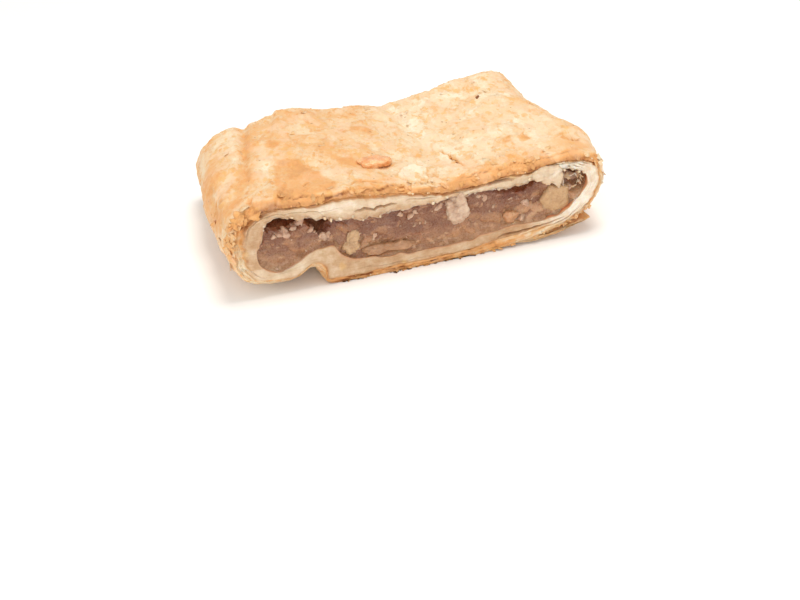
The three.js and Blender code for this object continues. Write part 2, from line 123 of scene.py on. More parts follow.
def noise(x: Array, y: Array, z: Array, size: float) -> Array:
    """Smooth noise: hashed values at the corners of a cubic lattice, blended with an eased share.

    Args:
        x: Places along X in millimetres.
        y: Places along Y.
        z: Places along Z.
        size: Lattice spacing, which is about the size of a lump.

    Returns:
        Values from -1 to 1.
    """
    places = [np.asarray(values, dtype=float) / size for values in np.broadcast_arrays(x, y, z)]
    cells = [np.floor(values) for values in places]
    blends = [ease(values - cell, 0.0, 1.0) for values, cell in zip(places, cells)]
    total = np.zeros(places[0].shape)
    for corner in range(8):
        steps = (corner & 1, (corner >> 1) & 1, corner >> 2)
        i, j, k = (cell + step for cell, step in zip(cells, steps))
        wave = np.sin(i * 127.1 + j * 311.7 + k * 74.7) * 43758.5453
        weight = math.prod((blend if step else 1.0 - blend) for blend, step in zip(blends, steps))
        total += weight * (2.0 * (wave - np.floor(wave)) - 1.0)
    return total


def fractal(x: Array, y: Array, z: Array, size: float, octaves: int = 3) -> Array:
    """Noise summed over octaves, each half the size and 0.55 of the height of the one before."""
    total = sum(0.55**n * noise(x, y, z + 31.7 * n, size / 2**n) for n in range(octaves))
    return total / sum(0.55**n for n in range(octaves))


def line_distance(points: Array, line: Sequence[Sequence[float]]) -> tuple[Array, Array]:
    """Distance from each point to a line through given places, and how far along it the nearest spot is.

    Args:
        points: Array whose last axis is a position.
        line: Places of the same dimension as the points.

    Returns:
        Distances and shares of the line from 0 to 1.
    """
    places = np.asarray(line, dtype=float)
    best = np.full(points.shape[:-1], np.inf)
    along = np.zeros(points.shape[:-1])
    count = len(places) - 1
    for i, (start, end) in enumerate(zip(places[:-1], places[1:])):
        way = end - start
        share = np.clip(((points - start) @ way) / (way @ way), 0.0, 1.0)
        distance = np.linalg.norm(points - start - share[..., None] * way, axis=-1)
        nearer = distance < best
        best = np.where(nearer, distance, best)
        along = np.where(nearer, (i + share) / count, along)
    return best, along


# ---- Outlines ----------------------------------------------------------------------------------------
def closed_curve(stations: Array, places: Array) -> Array:
    """Centripetal Catmull-Rom curve through closed stations, for many sections at once.

    Args:
        stations: Sections x stations x 2.
        places: Parameters, one unit for each station.

    Returns:
        Sections x places x 2.
    """
    count = stations.shape[1]
    cell = np.floor(places).astype(int)
    share = (places - cell)[None, :, None]
    p0, p1, p2, p3 = (stations[:, (cell + step) % count] for step in (-1, 0, 1, 2))
    spans = ((p0, p1), (p1, p2), (p2, p3))
    d0, d1, d2 = (np.sqrt(np.linalg.norm(b - a, axis=-1, keepdims=True)) for a, b in spans)
    start = ((p1 - p0) / d0 - (p2 - p0) / (d0 + d1) + (p2 - p1) / d1) * d1
    end = ((p2 - p1) / d1 - (p3 - p1) / (d1 + d2) + (p3 - p2) / d2) * d1
    c2 = -3 * p1 + 3 * p2 - 2 * start - end
    c3 = 2 * p1 - 2 * p2 + start + end
    return p1 + start * share + c2 * share**2 + c3 * share**3


def sections(front: Sequence, back: Sequence, y: Array, low: int, high: int) -> Array:
    """Rings round the slice, from the left end along the underside and back along the top.

    Args:
        front: Stations at the front cut.
        back: Stations at the back cut.
        y: Where the rings lie.
        low: Points along the underside, evenly spaced.
        high: Points along the top, evenly spaced.

    Returns:
        Rings x points x 3.
    """
    share = (y / DEPTH + 0.5)[:, None, None]
    stations = (1 - share) * np.asarray(front, float) + share * np.asarray(back, float)
    rings = np.empty((len(y), low + high, 3))
    rings[:, :, 1] = y[:, None]
    spans = ((0, RIGHT_STATION, 0, low), (RIGHT_STATION, stations.shape[1], low, high))
    for start, end, first, count in spans:
        fine = closed_curve(stations, np.linspace(start, end, 6 * count))
        lengths = np.cumsum(np.linalg.norm(np.diff(fine, axis=1, prepend=fine[:, :1]), axis=-1), axis=1)
        for row in range(len(y)):
            want = lengths[row, -1] * np.arange(count) / count
            for axis, target in ((0, 0), (1, 2)):
                rings[row, first : first + count, target] = np.interp(want, lengths[row], fine[row, :, axis])
    return rings


def outward(rings: Array) -> Array:
    """Outward directions of rings in the plane of their sections.

    Args:
        rings: Rings x points x 3.

    Returns:
        Unit vectors shaped like the rings.
    """
    along = np.roll(rings, -1, axis=1) - np.roll(rings, 1, axis=1)
    across = np.stack([along[..., 2], np.zeros(rings.shape[:2]), -along[..., 0]], -1)
    return across / np.linalg.norm(across, axis=-1, keepdims=True)


def stops(count: int, crowding: float) -> Array:
    """Places along Y from cut to cut, even for a crowding of 0 and crowded near the cuts up to 1."""
    share = np.linspace(-1.0, 1.0, count)
    return HALF * ((1 - crowding) * share + crowding * np.sin(share * math.pi / 2))


# ---- Meshes ------------------------------------------------------------------------------------------
@dataclass
class Shape:
    """Vertices in millimetres, quads (a triangle repeats its last corner) and values carried by vertices."""

    points: Array
    quads: Array
    values: dict[str, Array] = field(default_factory=dict)

    @staticmethod
    def joined(shapes: Sequence["Shape"]) -> "Shape":
        """Several shapes as one.

        Args:
            shapes: Shapes that carry the same values.

        Returns:
            The joined shape.
        """
        offsets = np.cumsum([0] + [len(shape.points) for shape in shapes[:-1]])
        return Shape(
            np.concatenate([shape.points for shape in shapes]),
            np.concatenate([shape.quads + offset for shape, offset in zip(shapes, offsets)]),
            {name: np.concatenate([shape.values[name] for shape in shapes]) for name in shapes[0].values},
        )

    def volume(self) -> float:
        """Signed volume in cubic millimetres, above 0 when the faces point out."""
        a, b, c, d = (self.points[self.quads[:, i]] for i in range(4))
        return float((np.sum(a * np.cross(b, c)) + np.sum(a * np.cross(c, d))) / 6)

    def build(self, name: str, material: Material, slot: Slot, replaced: str = "") -> bpy.types.Object:
        """Makes the mesh object, with its faces outward, and hangs it on the frame.

        Args:
            name: The piece's name.
            material: Its finish.
            slot: The record's material slot; not used.
            replaced: The solid that it stands for.

        Returns:
            The piece.
        """
        quads = self.quads if self.volume() > 0 else self.quads[:, [1, 0, 3, 2]]
        triangle = quads[:, 2] == quads[:, 3]
        mesh = bpy.data.meshes.new(name)
        faces = quads[~triangle].tolist() + quads[triangle, :3].tolist()
        mesh.from_pydata((self.points * MM).tolist(), [], faces)
        for key, numbers in self.values.items():
            layer = mesh.attributes.new(key, "FLOAT", "POINT")
            layer.data.foreach_set("value", np.ascontiguousarray(numbers, np.float32))
        mesh.shade_smooth()
        mesh.materials.append(material)
        mesh.update()
        piece = bpy.data.objects.new(name, mesh)
        bpy.context.scene.collection.objects.link(piece)
        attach(piece, "root")
        if replaced:
            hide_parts(replaced)
        return piece


def ring_quads(rows: int, count: int, closed: bool) -> Array:
    """Quads over rows of closed rings.

    Args:
        rows: How many rings.
        count: Points of a ring.
        closed: Whether the last ring joins the first.

    Returns:
        Quads x 4.
    """
    row = np.arange(rows if closed else rows - 1)[:, None]
    k = np.arange(count)[None, :]
    below, above = row * count, ((row + 1) % rows) * count
    after = (k + 1) % count
    return np.stack([above + k, above + after, below + after, below + k], -1).reshape(-1, 4)


def capped(rows: int, count: int) -> Array:
    """Quads over open rings and the triangles that close them to two poles, which come after the rings.

    Args:
        rows: How many rings.
        count: Points of a ring.

    Returns:
        Quads x 4, a triangle repeating its last corner.
    """
    k = np.arange(count)
    after = (k + 1) % count
    last, pole = (rows - 1) * count, rows * count
    top = np.stack([k, after, *[np.full(count, pole)] * 2], -1)
    low = np.stack([last + after, last + k, *[np.full(count, pole + 1)] * 2], -1)
    return np.concatenate([ring_quads(rows, count, False), top, low])


def ball(rows: int, count: int) -> tuple[Array, Array]:
    """Unit ball with its poles above and below.

    Args:
        rows: Rings between the poles.
        count: Points of a ring.

    Returns:
        Vertices and quads.
    """
    tilt = np.linspace(0, math.pi, rows + 2)[1:-1, None]
    turn = np.linspace(0, 2 * math.pi, count, endpoint=False)[None, :]
    height = np.cos(tilt) * np.ones_like(turn)
    ring = np.stack([np.sin(tilt) * np.cos(turn), np.sin(tilt) * np.sin(turn), height], -1)
    return np.concatenate([ring.reshape(-1, 3), [[0, 0, 1], [0, 0, -1]]]), capped(rows, count)


def chunk(directions: Array, seed: int, corners: int = 5, sharpness: float = 12.0) -> Array:
    """Radius of a hand-cut dice along given directions.

    Planes n with distances d bound it, and r = (sum of max(0, n.u / d)^p)^(-1/p) softens its edges.

    Args:
        directions: Unit vectors u.
        seed: Seed of the draw.
        corners: Planes that take off corners, besides the six sides.
        sharpness: The power p; higher is crisper.

    Returns:
        Radii of about 1.
    """
    draw = np.random.default_rng(seed)
    sides = np.concatenate([np.eye(3), -np.eye(3)]) + draw.normal(0, 0.13, (6, 3))
    planes = np.concatenate([sides, draw.normal(0, 1, (corners, 3))])
    planes /= np.linalg.norm(planes, axis=1, keepdims=True)
    far = np.concatenate([draw.uniform(0.92, 1.04, 6), draw.uniform(1.05, 1.25, corners)])
    reach = np.maximum(0, directions @ (planes / far[:, None]).T)
    return np.sum(reach**sharpness, axis=-1) ** (-1 / sharpness)


def frames(normal: Array, turn: Array) -> tuple[Array, Array, Array]:
    """Right-handed axes at many places.

    Args:
        normal: Unit vectors that become the third axis.
        turn: Angle of the first axis about the normal.

    Returns:
        The three axes, each copies x 3.
    """
    helper = np.where(np.abs(normal[:, 2:3]) > 0.7, [[1.0, 0, 0]], [[0, 0, 1.0]])
    first = np.cross(helper, normal)
    first /= np.linalg.norm(first, axis=1, keepdims=True)
    second = np.cross(normal, first)
    c, s = np.cos(turn)[:, None], np.sin(turn)[:, None]
    return c * first + s * second, c * second - s * first, normal


def thin_flakes(
    place: Array, normal: Array, size: Array, thick: Array, draw: np.random.Generator
) -> Shape:
    """Thin curled flakes, each with an uneven outline r(a) = 1 + sum of c_m cos(m a + phase) and a bend.

    Args:
        place: Copies x 3, the middles.
        normal: Copies x 3, what each flake faces.
        size: Copies x 2, length and width.
        thick: Thickness of each copy.
        draw: Source of the random outlines, turns and bends.

    Returns:
        The joined flakes, with the extra browning of their rims as `edge`.
    """
    copies, around, rings = len(place), 20, 4
    angle = np.linspace(0, 2 * math.pi, around, endpoint=False)
    outline = np.ones((copies, around))
    for m, c in ((2, 0.16), (3, 0.18), (4, 0.1), (5, 0.1), (7, 0.07), (9, 0.05)):
        swing = c * draw.uniform(0.3, 1.2, (copies, 1))
        outline += swing * np.cos(m * angle + draw.uniform(0, ANY_TURN, (copies, 1)))
    share = (np.arange(rings) + 1.0) / rings
    share = np.concatenate([share, share[::-1]])[None, :, None]
    u = share * (outline * np.cos(angle))[:, None, :]
    v = share * (outline * np.sin(angle))[:, None, :]
    bend = draw.normal(0, 0.22, (copies, 1, 1)) + 0.12
    twist = draw.normal(0, 0.15, (copies, 1, 1))
    half = size[:, :, None, None] / 2
    middle = (bend * u * u + twist * u * v) * half[:, 0]
    face = np.concatenate([np.ones(rings), -np.ones(rings)])[None, :, None]
    body = middle + face * thick[:, None, None] / 2 * (1 - 0.75 * share**5)
    local = np.stack([u * half[:, 0], v * half[:, 1], body], -1).reshape(copies, -1, 3)
    poles = np.zeros((copies, 2, 3))
    poles[:, 0, 2], poles[:, 1, 2] = thick / 2, -thick / 2
    local = np.concatenate([local, poles], axis=1)
    axes = np.stack(frames(normal, draw.uniform(0, ANY_TURN, copies)), 1)
    points = np.einsum("cvk,ckx->cvx", local, axes) + place[:, None, :]
    per = 2 * rings * around + 2
    quads = capped(2 * rings, around)[None] + (np.arange(copies) * per)[:, None, None]
    edge = np.tile(np.append(np.repeat(0.06 * share[0, :, 0] ** 4, around), [0, 0]), copies)
    return Shape(points.reshape(-1, 3), quads.reshape(-1, 4), {"edge": edge})


def grains(
    place: Array, radius: Array, draw: np.random.Generator, rows: int = 7, around: int = 12
) -> Shape:
    """Small uneven lumps with soft facets.

    Args:
        place: Copies x 3, the middles.
        radius: Copies x 3, the half sizes.
        draw: Source of the random shapes and turns.
        rows: Rings of each lump.
        around: Points of a ring.

    Returns:
        The joined lumps, without values.
    """
    unit, quads = ball(rows, around)
    copies = len(place)
    planes = draw.normal(0, 1, (copies, 9, 3))
    planes /= np.linalg.norm(planes, axis=-1, keepdims=True)
    reach = np.maximum(0, np.einsum("vk,cpk->cvp", unit, planes)) / draw.uniform(0.75, 1.15, (copies, 1, 9))
    swell = (0.35**8 + np.sum(reach**8, axis=-1)) ** (-1 / 8)
    normal = draw.normal(0, 1, (copies, 3))
    normal /= np.linalg.norm(normal, axis=-1, keepdims=True)
    axes = np.stack(frames(normal, draw.uniform(0, ANY_TURN, copies)), 1) * radius[:, :, None]
    local = unit[None] * np.minimum(swell, 1.5)[..., None]
    points = np.einsum("cvk,ckx->cvx", local, axes) + place[:, None, :]
    moved = quads[None] + (np.arange(copies) * len(unit))[:, None, None]
    return Shape(points.reshape(-1, 3), moved.reshape(-1, 4))


def per_copy(values: Array, shape: Shape) -> Array:
    """Spreads one value for each copy over the vertices of equal copies joined in a shape."""
    return np.repeat(values, len(shape.points) // len(values))


# ---- Finishes ----------------------------------------------------------------------------------------
def linear(hex_colour: str) -> tuple[float, float, float, float]:
    """An sRGB hex colour such as "#f5c48a" as linear red, green and blue with an alpha of 1."""
    channels = [int(hex_colour[i : i + 2], 16) / 255 for i in (1, 3, 5)]
    return (*[c / 12.92 if c <= 0.04045 else ((c + 0.055) / 1.055) ** 2.4 for c in channels], 1.0)


class Nodes:
    """A material's node tree under construction."""

    def __init__(self, name: str) -> None:
        """Starts a material with a shader and object coordinates.

        Args:
            name: Name of the real surface.
        """
        self.material = bpy.data.materials.new(name)
        self.material.use_nodes = True
        self.tree = self.material.node_tree
        self.tree.nodes.clear()
        self.shader = self.add("BsdfPrincipled")
        self.add("OutputMaterial", (self.shader.outputs[0],))
        self.place = self.add("TexCoord").outputs["Object"]

    def fill(self, node: bpy.types.Node, inputs: Inputs) -> None:
        """Gives a node's inputs what they get.

        Args:
            node: The node.
            inputs: Numbers, vectors, hex colours or sockets to link, in order or by the inputs' names.
        """
        for key, value in inputs.items() if isinstance(inputs, dict) else enumerate(inputs):
            if isinstance(value, Socket):
                self.tree.links.new(value, node.inputs[key])
            else:
                node.inputs[key].default_value = linear(value) if isinstance(value, str) else value

    def add(self, kind: str, inputs: Inputs = (), stops: Ramp = (), **settings: object) -> bpy.types.Node:
        """Adds a node with its settings and links.

        Args:
            kind: The node's type, without the word ShaderNode before it.
            inputs: What its inputs get, as in `fill`.
            stops: Places and hex colours of a colour ramp.
            **settings: Properties of the node.

        Returns:
            The node.
        """
        node = self.tree.nodes.new("ShaderNode" + kind)
        for key, value in settings.items():
            setattr(node, key, value)
        self.fill(node, inputs)
        for number, (place, colour) in enumerate(stops):
            elements = node.color_ramp.elements
            element = elements[number] if number < len(elements) else elements.new(place)
            element.position = place
            element.color = linear(colour)
        return node

    def total(self, base: object, *terms: tuple[object, object]) -> Socket:
        """A base plus each term's first value times its second, all numbers or sockets."""
        for first, second in terms:
            base = self.add("Math", (first, second, base), operation="MULTIPLY_ADD").outputs[0]
        return base

    def vary(self, base: object, *noises: tuple[Socket, float]) -> Socket:
        """A base plus noises of values round 0.5, each taken about its middle and times its number."""
        for noise_, size in noises:
            centred = self.add("Math", (noise_, 0.5), operation="SUBTRACT").outputs[0]
            base = self.total(base, (centred, size))
        return base

    def laid(self, colour: object, *layers: tuple[object, object]) -> Socket:
        """A colour with others laid over it, each given as its share and a hex colour or socket."""
        for share, over in layers:
            colour = self.add("Mix", {0: share, 6: colour, 7: over}, data_type="RGBA").outputs[2]
        return colour

    def step(self, value: Socket, low: float, high: float) -> Socket:
        """Share that eases from 0 to 1 as a value goes from low to high."""
        inputs = {"Value": value, "From Min": low, "From Max": high}
        return self.add("MapRange", inputs, interpolation_type="SMOOTHSTEP").outputs[0]

    def grain(
        self, size_mm: float, detail: float = 3.0, stretch: Sequence[float] = (1, 1, 1), roughness: float = 0.6
    ) -> Socket:
        """Noise with grains of a real size.

        Args:
            size_mm: Size of a grain.
            detail: Octaves of detail.
            stretch: Scale along each axis; under 1 makes the grain longer that way.
            roughness: How strong the finer octaves are.

        Returns:
            Socket of values round 0.5.
        """
        stretched = self.add("Mapping", {"Vector": self.place, "Scale": stretch}).outputs[0]
        inputs = {"Vector": stretched, "Scale": 1 / (size_mm * MM), "Detail": detail, "Roughness": roughness}
        return self.add("TexNoise", inputs).outputs["Fac"]

    def spots(self, size_mm: float, radius: float, soft: float, share: float) -> Socket:
        """Round spots in some of the irregular cells of a real size.

        Args:
            size_mm: Size of a cell.
            radius: Radius of a spot, in cells.
            soft: Width of its soft edge, in cells.
            share: Share of the cells that hold a spot.

        Returns:
            Socket that is 1 inside the spots.
        """
        cell = size_mm * MM
        warp = self.add("TexNoise", {"Vector": self.place, "Scale": 2.2 / cell}).outputs["Color"]
        inputs = (warp, (cell * 0.5,) * 3, self.place)
        moved = self.add("VectorMath", inputs, operation="MULTIPLY_ADD").outputs[0]
        cells = self.add("TexVoronoi", {"Vector": moved, "Scale": 1 / cell})
        own = self.add("SeparateColor", (cells.outputs["Color"],)).outputs[0]
        chosen = self.add("Math", (own, share), operation="LESS_THAN").outputs[0]
        outside = self.step(cells.outputs["Distance"], radius, radius + soft)
        return self.total(0.0, (self.total(1.0, (outside, -1.0)), chosen))

    def finish(self, colour: Socket, relief: Sequence[tuple[Socket, float]], **looks: object) -> Material:
        """Links the colour and the relief, and sets the shader's own numbers.

        Args:
            colour: Socket of the base colour.
            relief: Heights and what a height of 1 stands for, in millimetres.
            **looks: Shader inputs, named with underscores for spaces; a socket is linked.

        Returns:
            The finished material.
        """
        if relief:
            height = self.total(0.0, *relief)
            bump = self.add("Bump", {"Height": height, "Distance": MM, "Strength": 1.0})
            self.fill(self.shader, {"Normal": bump.outputs[0]})
        self.fill(self.shader, {"Base Color": colour})
        self.fill(self.shader, {key.replace("_", " "): value for key, value in looks.items()})
        return self.material


@dataclass(frozen=True)
class PastryFinish:
    """Baked puff pastry: a golden crust that pales to cream dough where the mesh value `dough` is 1.

    The mesh also carries how brown each place is in `brown`, how much painted shade darkens its gaps in
    `crease`, and how soaked by the filling in `stain`. Patches of flaky layers, mottling, blisters and specks
    are added here.
    """

    name: str = "baked_puff_pastry"
    bake: Ramp = (
        (0.0, "#f0dfc4"),  # hardly baked
        (0.25, "#e6cda8"),  # cream gold
        (0.45, "#e3be92"),  # pale gold
        (0.6, "#e0b07a"),  # golden
        (0.7, "#dfa163"),  # golden orange
        (0.82, "#c88f58"),  # orange tan edge
        (0.92, "#a96d3c"),  # browned edge
        (1.0, "#7d4723"),  # dark crack
    )
    dough: Ramp = (
        (0.0, "#f2e7d6"),  # cream
        (0.3, "#dfc8ab"),  # steamed dough
        (0.62, "#c8a682"),  # buttery tan
        (1.0, "#a9784b"),  # toasted
    )
    honey: str = "#e0ab63"
    rosy: str = "#ecc9a8"
    speck: str = "#7d4a24"
    butter: str = "#e6bd78"
    # painted shade in the gaps between layers at the cuts
    gap: str = "#a8754c"
    soaked: str = "#c4683e"
    along: tuple[float, float, float] = (1.0, 0.62, 1.0)  # layers run a little longer from cut to cut
    fibres: tuple[float, float, float] = (0.3, 1.0, 1.6)  # dough strings run along the layers at a cut

    def make(self) -> Material:
        """Builds the material.

        Returns:
            The material.
        """
        nodes = Nodes(self.name)
        carried = ("brown", "dough", "crease", "stain")
        baked, doughy, crease, stain = (
            nodes.add("Attribute", attribute_name=name).outputs["Fac"] for name in carried
        )
        patch, layer = nodes.grain(10.0, 8.0, self.along, 0.64), nodes.grain(4.2, 7.0, self.along, 0.6)
        mottle, fine = nodes.grain(1.2, 4.0), nodes.grain(0.42, 3.0)
        strings, cloud = nodes.grain(0.8, 3.0, self.fibres), nodes.grain(3.6, 4.0)
        patch_step, layer_step = nodes.step(patch, 0.486, 0.502), nodes.step(layer, 0.54, 0.558)
        blotch = nodes.step(nodes.grain(2.5, 4.0, self.along, 0.5), 0.585, 0.64)
        fleck = nodes.step(nodes.grain(1.7, 3.0, self.along), 0.62, 0.67)
        blister = nodes.spots(5.5, 0.16, 0.1, 0.18)
        # painted shade: a browner line runs along the foot of parts of the patches' edges
        off_edge = nodes.add("Math", (patch, 0.478), operation="SUBTRACT").outputs[0]
        off_edge = nodes.add("Math", (off_edge,), operation="ABSOLUTE").outputs[0]
        rim = nodes.total(1.0, (nodes.step(off_edge, 0.0, 0.013), -1.0))
        rim = nodes.total(0.0, (rim, nodes.step(nodes.grain(12.0, 2.0), 0.47, 0.6)))
        # patterns shift the browning, less where it is already brown, and never past dark orange
        shift = nodes.vary(
            0.0, (patch, 0.28), (patch_step, 0.12), (layer_step, -0.11), (mottle, 0.26), (fine, 0.2)
        )
        shift = nodes.total(shift, (rim, 0.22), (blotch, 0.15), (fleck, -0.13), (blister, 0.08))
        calm = nodes.total(1.0, (nodes.step(baked, 0.46, 0.62), -0.55))
        limit = nodes.add("Math", (nodes.total(0.05, (baked, 1.0)), 0.72), operation="MAXIMUM").outputs[0]
        shifted = nodes.total(baked, (shift, calm))
        brown = nodes.add("Math", (shifted, limit), operation="MINIMUM").outputs[0]
        honey = nodes.total(0.0, (nodes.step(nodes.grain(2.2, 3.0, self.along, 0.5), 0.57, 0.63), calm))
        rosy = nodes.total(0.0, (nodes.step(nodes.grain(5.5, 4.0, self.along, 0.5), 0.53, 0.6), calm))
        crust = nodes.laid(
            nodes.add("ValToRGB", (brown,), self.bake).outputs[0],
            (nodes.total(0.0, (honey, 0.6)), self.honey),
            (nodes.total(0.0, (rosy, 0.4)), self.rosy),
            (nodes.total(0.0, (nodes.spots(4.2, 0.05, 0.04, 0.6), 0.6)), self.speck),
        )
        toasted = nodes.vary(baked, (cloud, 0.95), (strings, 0.32), (mottle, 0.25), (fine, 0.15))
        dough = nodes.laid(
            nodes.add("ValToRGB", (toasted,), self.dough).outputs[0],
            (nodes.total(0.0, (nodes.spots(9.0, 0.1, 0.12, 0.5), 0.35)), self.butter),
            # painted shade in the gaps and creases of the dough
            (crease, self.gap),
        )
        flaky = nodes.total(patch_step, (layer_step, 0.8), (blister, 0.8), (mottle, 1.2))
        flaky = nodes.total(0.0, (flaky, nodes.total(1.0, (doughy, -1.0))))
        return nodes.finish(
            nodes.laid(crust, (doughy, dough), (stain, self.soaked)),
            ((flaky, 0.06), (fine, 0.07), (mottle, 0.05), (strings, 0.05)),
            Roughness=nodes.total(0.38, (mottle, 0.3)),
            Specular_IOR_Level=0.25,
            Subsurface_Weight=nodes.total(0.12, (doughy, 0.35)),
            Subsurface_Radius=(1.0, 0.65, 0.4),
            Subsurface_Scale=0.0015,
        )


@dataclass(frozen=True)
class MashFinish:
    """Cooked grated apple: taupe, lighter where the mesh value `tint` is high, wet and a little clear."""

    name: str = "cooked_apple_mash"
    flesh: Ramp = (
        # the darkest stop stands for painted shade deep between lumps and under the roof
        (0.0, "#6e3a20"),  # deep between lumps
        (0.3, "#8e6045"),  # mauve brown
        (0.55, "#ab7d59"),  # taupe
        (1.0, "#d2aa86"),  # clear shred
    )
    tan: str = "#bb8254"
    clear: str = "#cfa68a"

    def make(self) -> Material:
        """Builds the material.

        Returns:
            The material.
        """
        nodes = Nodes(self.name)
        cloud = nodes.grain(4.5, 4.0, (0.7, 1.0, 1.0))
        streak = nodes.grain(1.9, 4.0, (0.5, 1.0, 1.2))
        pulp = nodes.grain(0.5, 3.0)
        tint = nodes.add("Attribute", attribute_name="tint").outputs["Fac"]
        tint = nodes.vary(tint, (cloud, 0.7), (streak, 0.4), (pulp, 0.4))
        tan = nodes.step(nodes.grain(5.0, 3.0, (0.4, 1.0, 1.6)), 0.46, 0.7)
        clear = nodes.step(nodes.grain(1.1, 2.0, (0.7, 1.0, 1.2)), 0.58, 0.72)
        colour = nodes.laid(
            nodes.add("ValToRGB", (tint,), self.flesh).outputs[0],
            (nodes.total(0.0, (tan, 0.26)), self.tan),
            (nodes.total(0.0, (clear, 0.4)), self.clear),
        )
        return nodes.finish(
            colour,
            ((streak, 0.25), (pulp, 0.12)),
            Roughness=nodes.total(0.12, (pulp, 0.35)),
            Specular_IOR_Level=0.5,
            Subsurface_Weight=0.6,
            Subsurface_Radius=(1.0, 0.55, 0.35),
            Subsurface_Scale=0.0022,
        )


@dataclass(frozen=True)
class FruitFinish:
    """A piece of cooked fruit: soft colour that shifts with its flesh, fine fibres and a wet gloss."""

    name: str
    light: str
    dark: str
    gloss: float = 0.3

    def make(self) -> Material:
        """Builds the material.

        Returns:
            The material.
        """
        nodes = Nodes(self.name)
        flesh = nodes.grain(2.6, 4.0)
        fibre = nodes.grain(0.5, 3.0, (0.6, 1.0, 1.6))
        value = nodes.vary(flesh, (fibre, 0.5))
        return nodes.finish(
            nodes.add("ValToRGB", (value,), ((0.3, self.dark), (0.7, self.light))).outputs[0],
            ((flesh, 0.45), (fibre, 0.15)),
            Roughness=nodes.total(self.gloss - 0.12, (fibre, 0.25)),
            Specular_IOR_Level=0.5,
            Subsurface_Weight=0.3,
            Subsurface_Radius=(1.0, 0.7, 0.45),
            Subsurface_Scale=0.0018,
        )


class Flesh(Enum):
    """Finishes of the pieces of fruit."""

    APPLE = FruitFinish("cooked_apple_dice", "#cfab80", "#b88d62")  # large, pale amber
    PALE = FruitFinish("pale_cooked_apple", "#dcc2a6", "#b8937a", 0.4)  # chalky, nut-like
    SOFT = FruitFinish("soft_cooked_apple", "#d0ab80", "#ae8760")  # yellow and soft
    AMBER = FruitFinish("amber_cooked_apple", "#cd9a70", "#ae7c56")  # orange-brown
    SLAB = FruitFinish("streaked_cooked_apple", "#bd8f69", "#a07350")  # close to the mash
    GLAZED = FruitFinish("caramelised_fruit", "#f6c290", "#dc8f50", 0.2)  # clear orange, shiny
    NUT_BITS = FruitFinish("pale_nut_bits", "#d9b79b", "#b58a70", 0.4)  # pinkish cream


# ---- Pastry ------------------------------------------------------------------------------------------
@dataclass(frozen=True)
class Crack:
    """A crack in the crust: places near it, its half width, its depth and how much browner it is."""

    line: tuple[tuple[float, float, float], ...]
    width: float
    depth: float
    brown: float = 0.4


@dataclass(frozen=True)
class Slit:
    """A gap between two sub-layers at the front cut.

    `first` and `last` are X, `above` tells roof from floor, `place` is its share of the wall from the
    crust inwards, and `half` and `depth` are its half width and depth.
    """

    first: float
    last: float
    above: bool
    place: float
    half: float
    depth: float


@dataclass(frozen=True)
class Raised:
    """A flake that stands up from the top over an outline seen from above, and how much paler it is."""

    outline: tuple[tuple[float, float], ...]
    rise: float
    pale: float


@dataclass(frozen=True)
class Tone:
    """An area of the top with its own baking: its outline seen from above and how much browner it is."""

    outline: tuple[tuple[float, float], ...]
    extra: float


@dataclass(frozen=True)
class Band:
    """A band of the crust along a line: half width and how much browner it is."""

    line: tuple[tuple[float, float, float], ...]
    half: float
    extra: float


CRACKS = (
    Crack(
        ((13.1, -10.4, 24.6), (14.1, -15.1, 24.4), (15, -18.9, 24.4), (15.4, -23.2, 24.4), (16.3, -27.7, 24.2)),
        0.42, 0.8, 0.9,
    ),
    Crack(((51.6, 7.3, 28), (50.7, 1.8, 28), (51.4, -1.5, 28)), 0.35, 0.7),
    Crack(((-42.2, -20.6, 29), (-46.6, -25.3, 29), (-49.7, -29, 28.2), (-50.8, -35, 27.2)), 0.5, 1.1),
    Crack(((-23.5, -30, 28), (-20.5, -33, 28), (-17, -31, 27.5), (-12, -33.5, 27), (-5, -34, 26.5)), 0.3, 0.6),
    Crack(((-33.5, -29, 29), (-31.5, -26.5, 29), (-30.5, -26, 29)), 0.3, 0.6),
    Crack(((56.2, -2, 26), (58.2, -9.1, 24.4), (59.3, -14.1, 23.2), (59.4, -19, 21.6)), 0.3, 1.0, 0.4),
    Crack(((-56.8, -13, 26), (-58.6, -13.4, 22), (-59.3, -14.6, 17)), 0.34, 1.2, 0.7),
    Crack(((-56, -18.2, 25), (-57.2, -17.4, 23.2), (-58, -16.8, 21.6)), 0.3, 0.9, 0.6),
    Crack(((55, 22, 14), (55, 14, 15), (55, 6, 13)), 0.3, 0.7, 0.25),
    Crack(((-57, 27, 13), (-57.4, 20, 12), (-58.2, 12, 13)), 0.3, 0.7, 0.25),
)
SLITS = (
    Slit(-21.5, -8.5, True, 0.62, 0.28, 2.4),
    Slit(-6, 4, True, 0.5, 0.12, 0.7),
    Slit(19, 28, True, 0.34, 0.5, 2.2),
    Slit(5, 18, True, 0.42, 0.1, 0.6),
    Slit(-46, -24, True, 0.45, 0.12, 0.7),
    Slit(36, 47, True, 0.3, 0.2, 1.2),
    Slit(22, 44, False, 0.6, 0.26, 2.4),
    Slit(30, 50, False, 0.34, 0.2, 1.4),
    Slit(-22, 2, False, 0.52, 0.1, 0.6),
    Slit(2, 24, False, 0.4, 0.12, 0.8),
    Slit(-48, -36, False, 0.5, 0.1, 0.5),
)
RAISED = (
    Raised(
        ((-42, -20), (-45.5, -25), (-48.6, -29.5), (-49.8, -36.5), (-44, -37), (-40.5, -31), (-38, -24)),
        0.7, 0.0,
    ),
    Raised(
        ((-5.9, -29), (-1.6, -22), (3.1, -20.5), (6.3, -23.5), (3.5, -27.5), (3, -32), (-1.5, -33.4)),
        0.6, 0.22,
    ),
    Raised(((8, -25), (13, -26), (16, -31), (12, -34), (6, -32.5)), 0.35, 0.14),
    Raised(((-17, -22), (-12, -24), (-8, -30), (-14, -32), (-20, -29)), 0.3, 0.12),
)
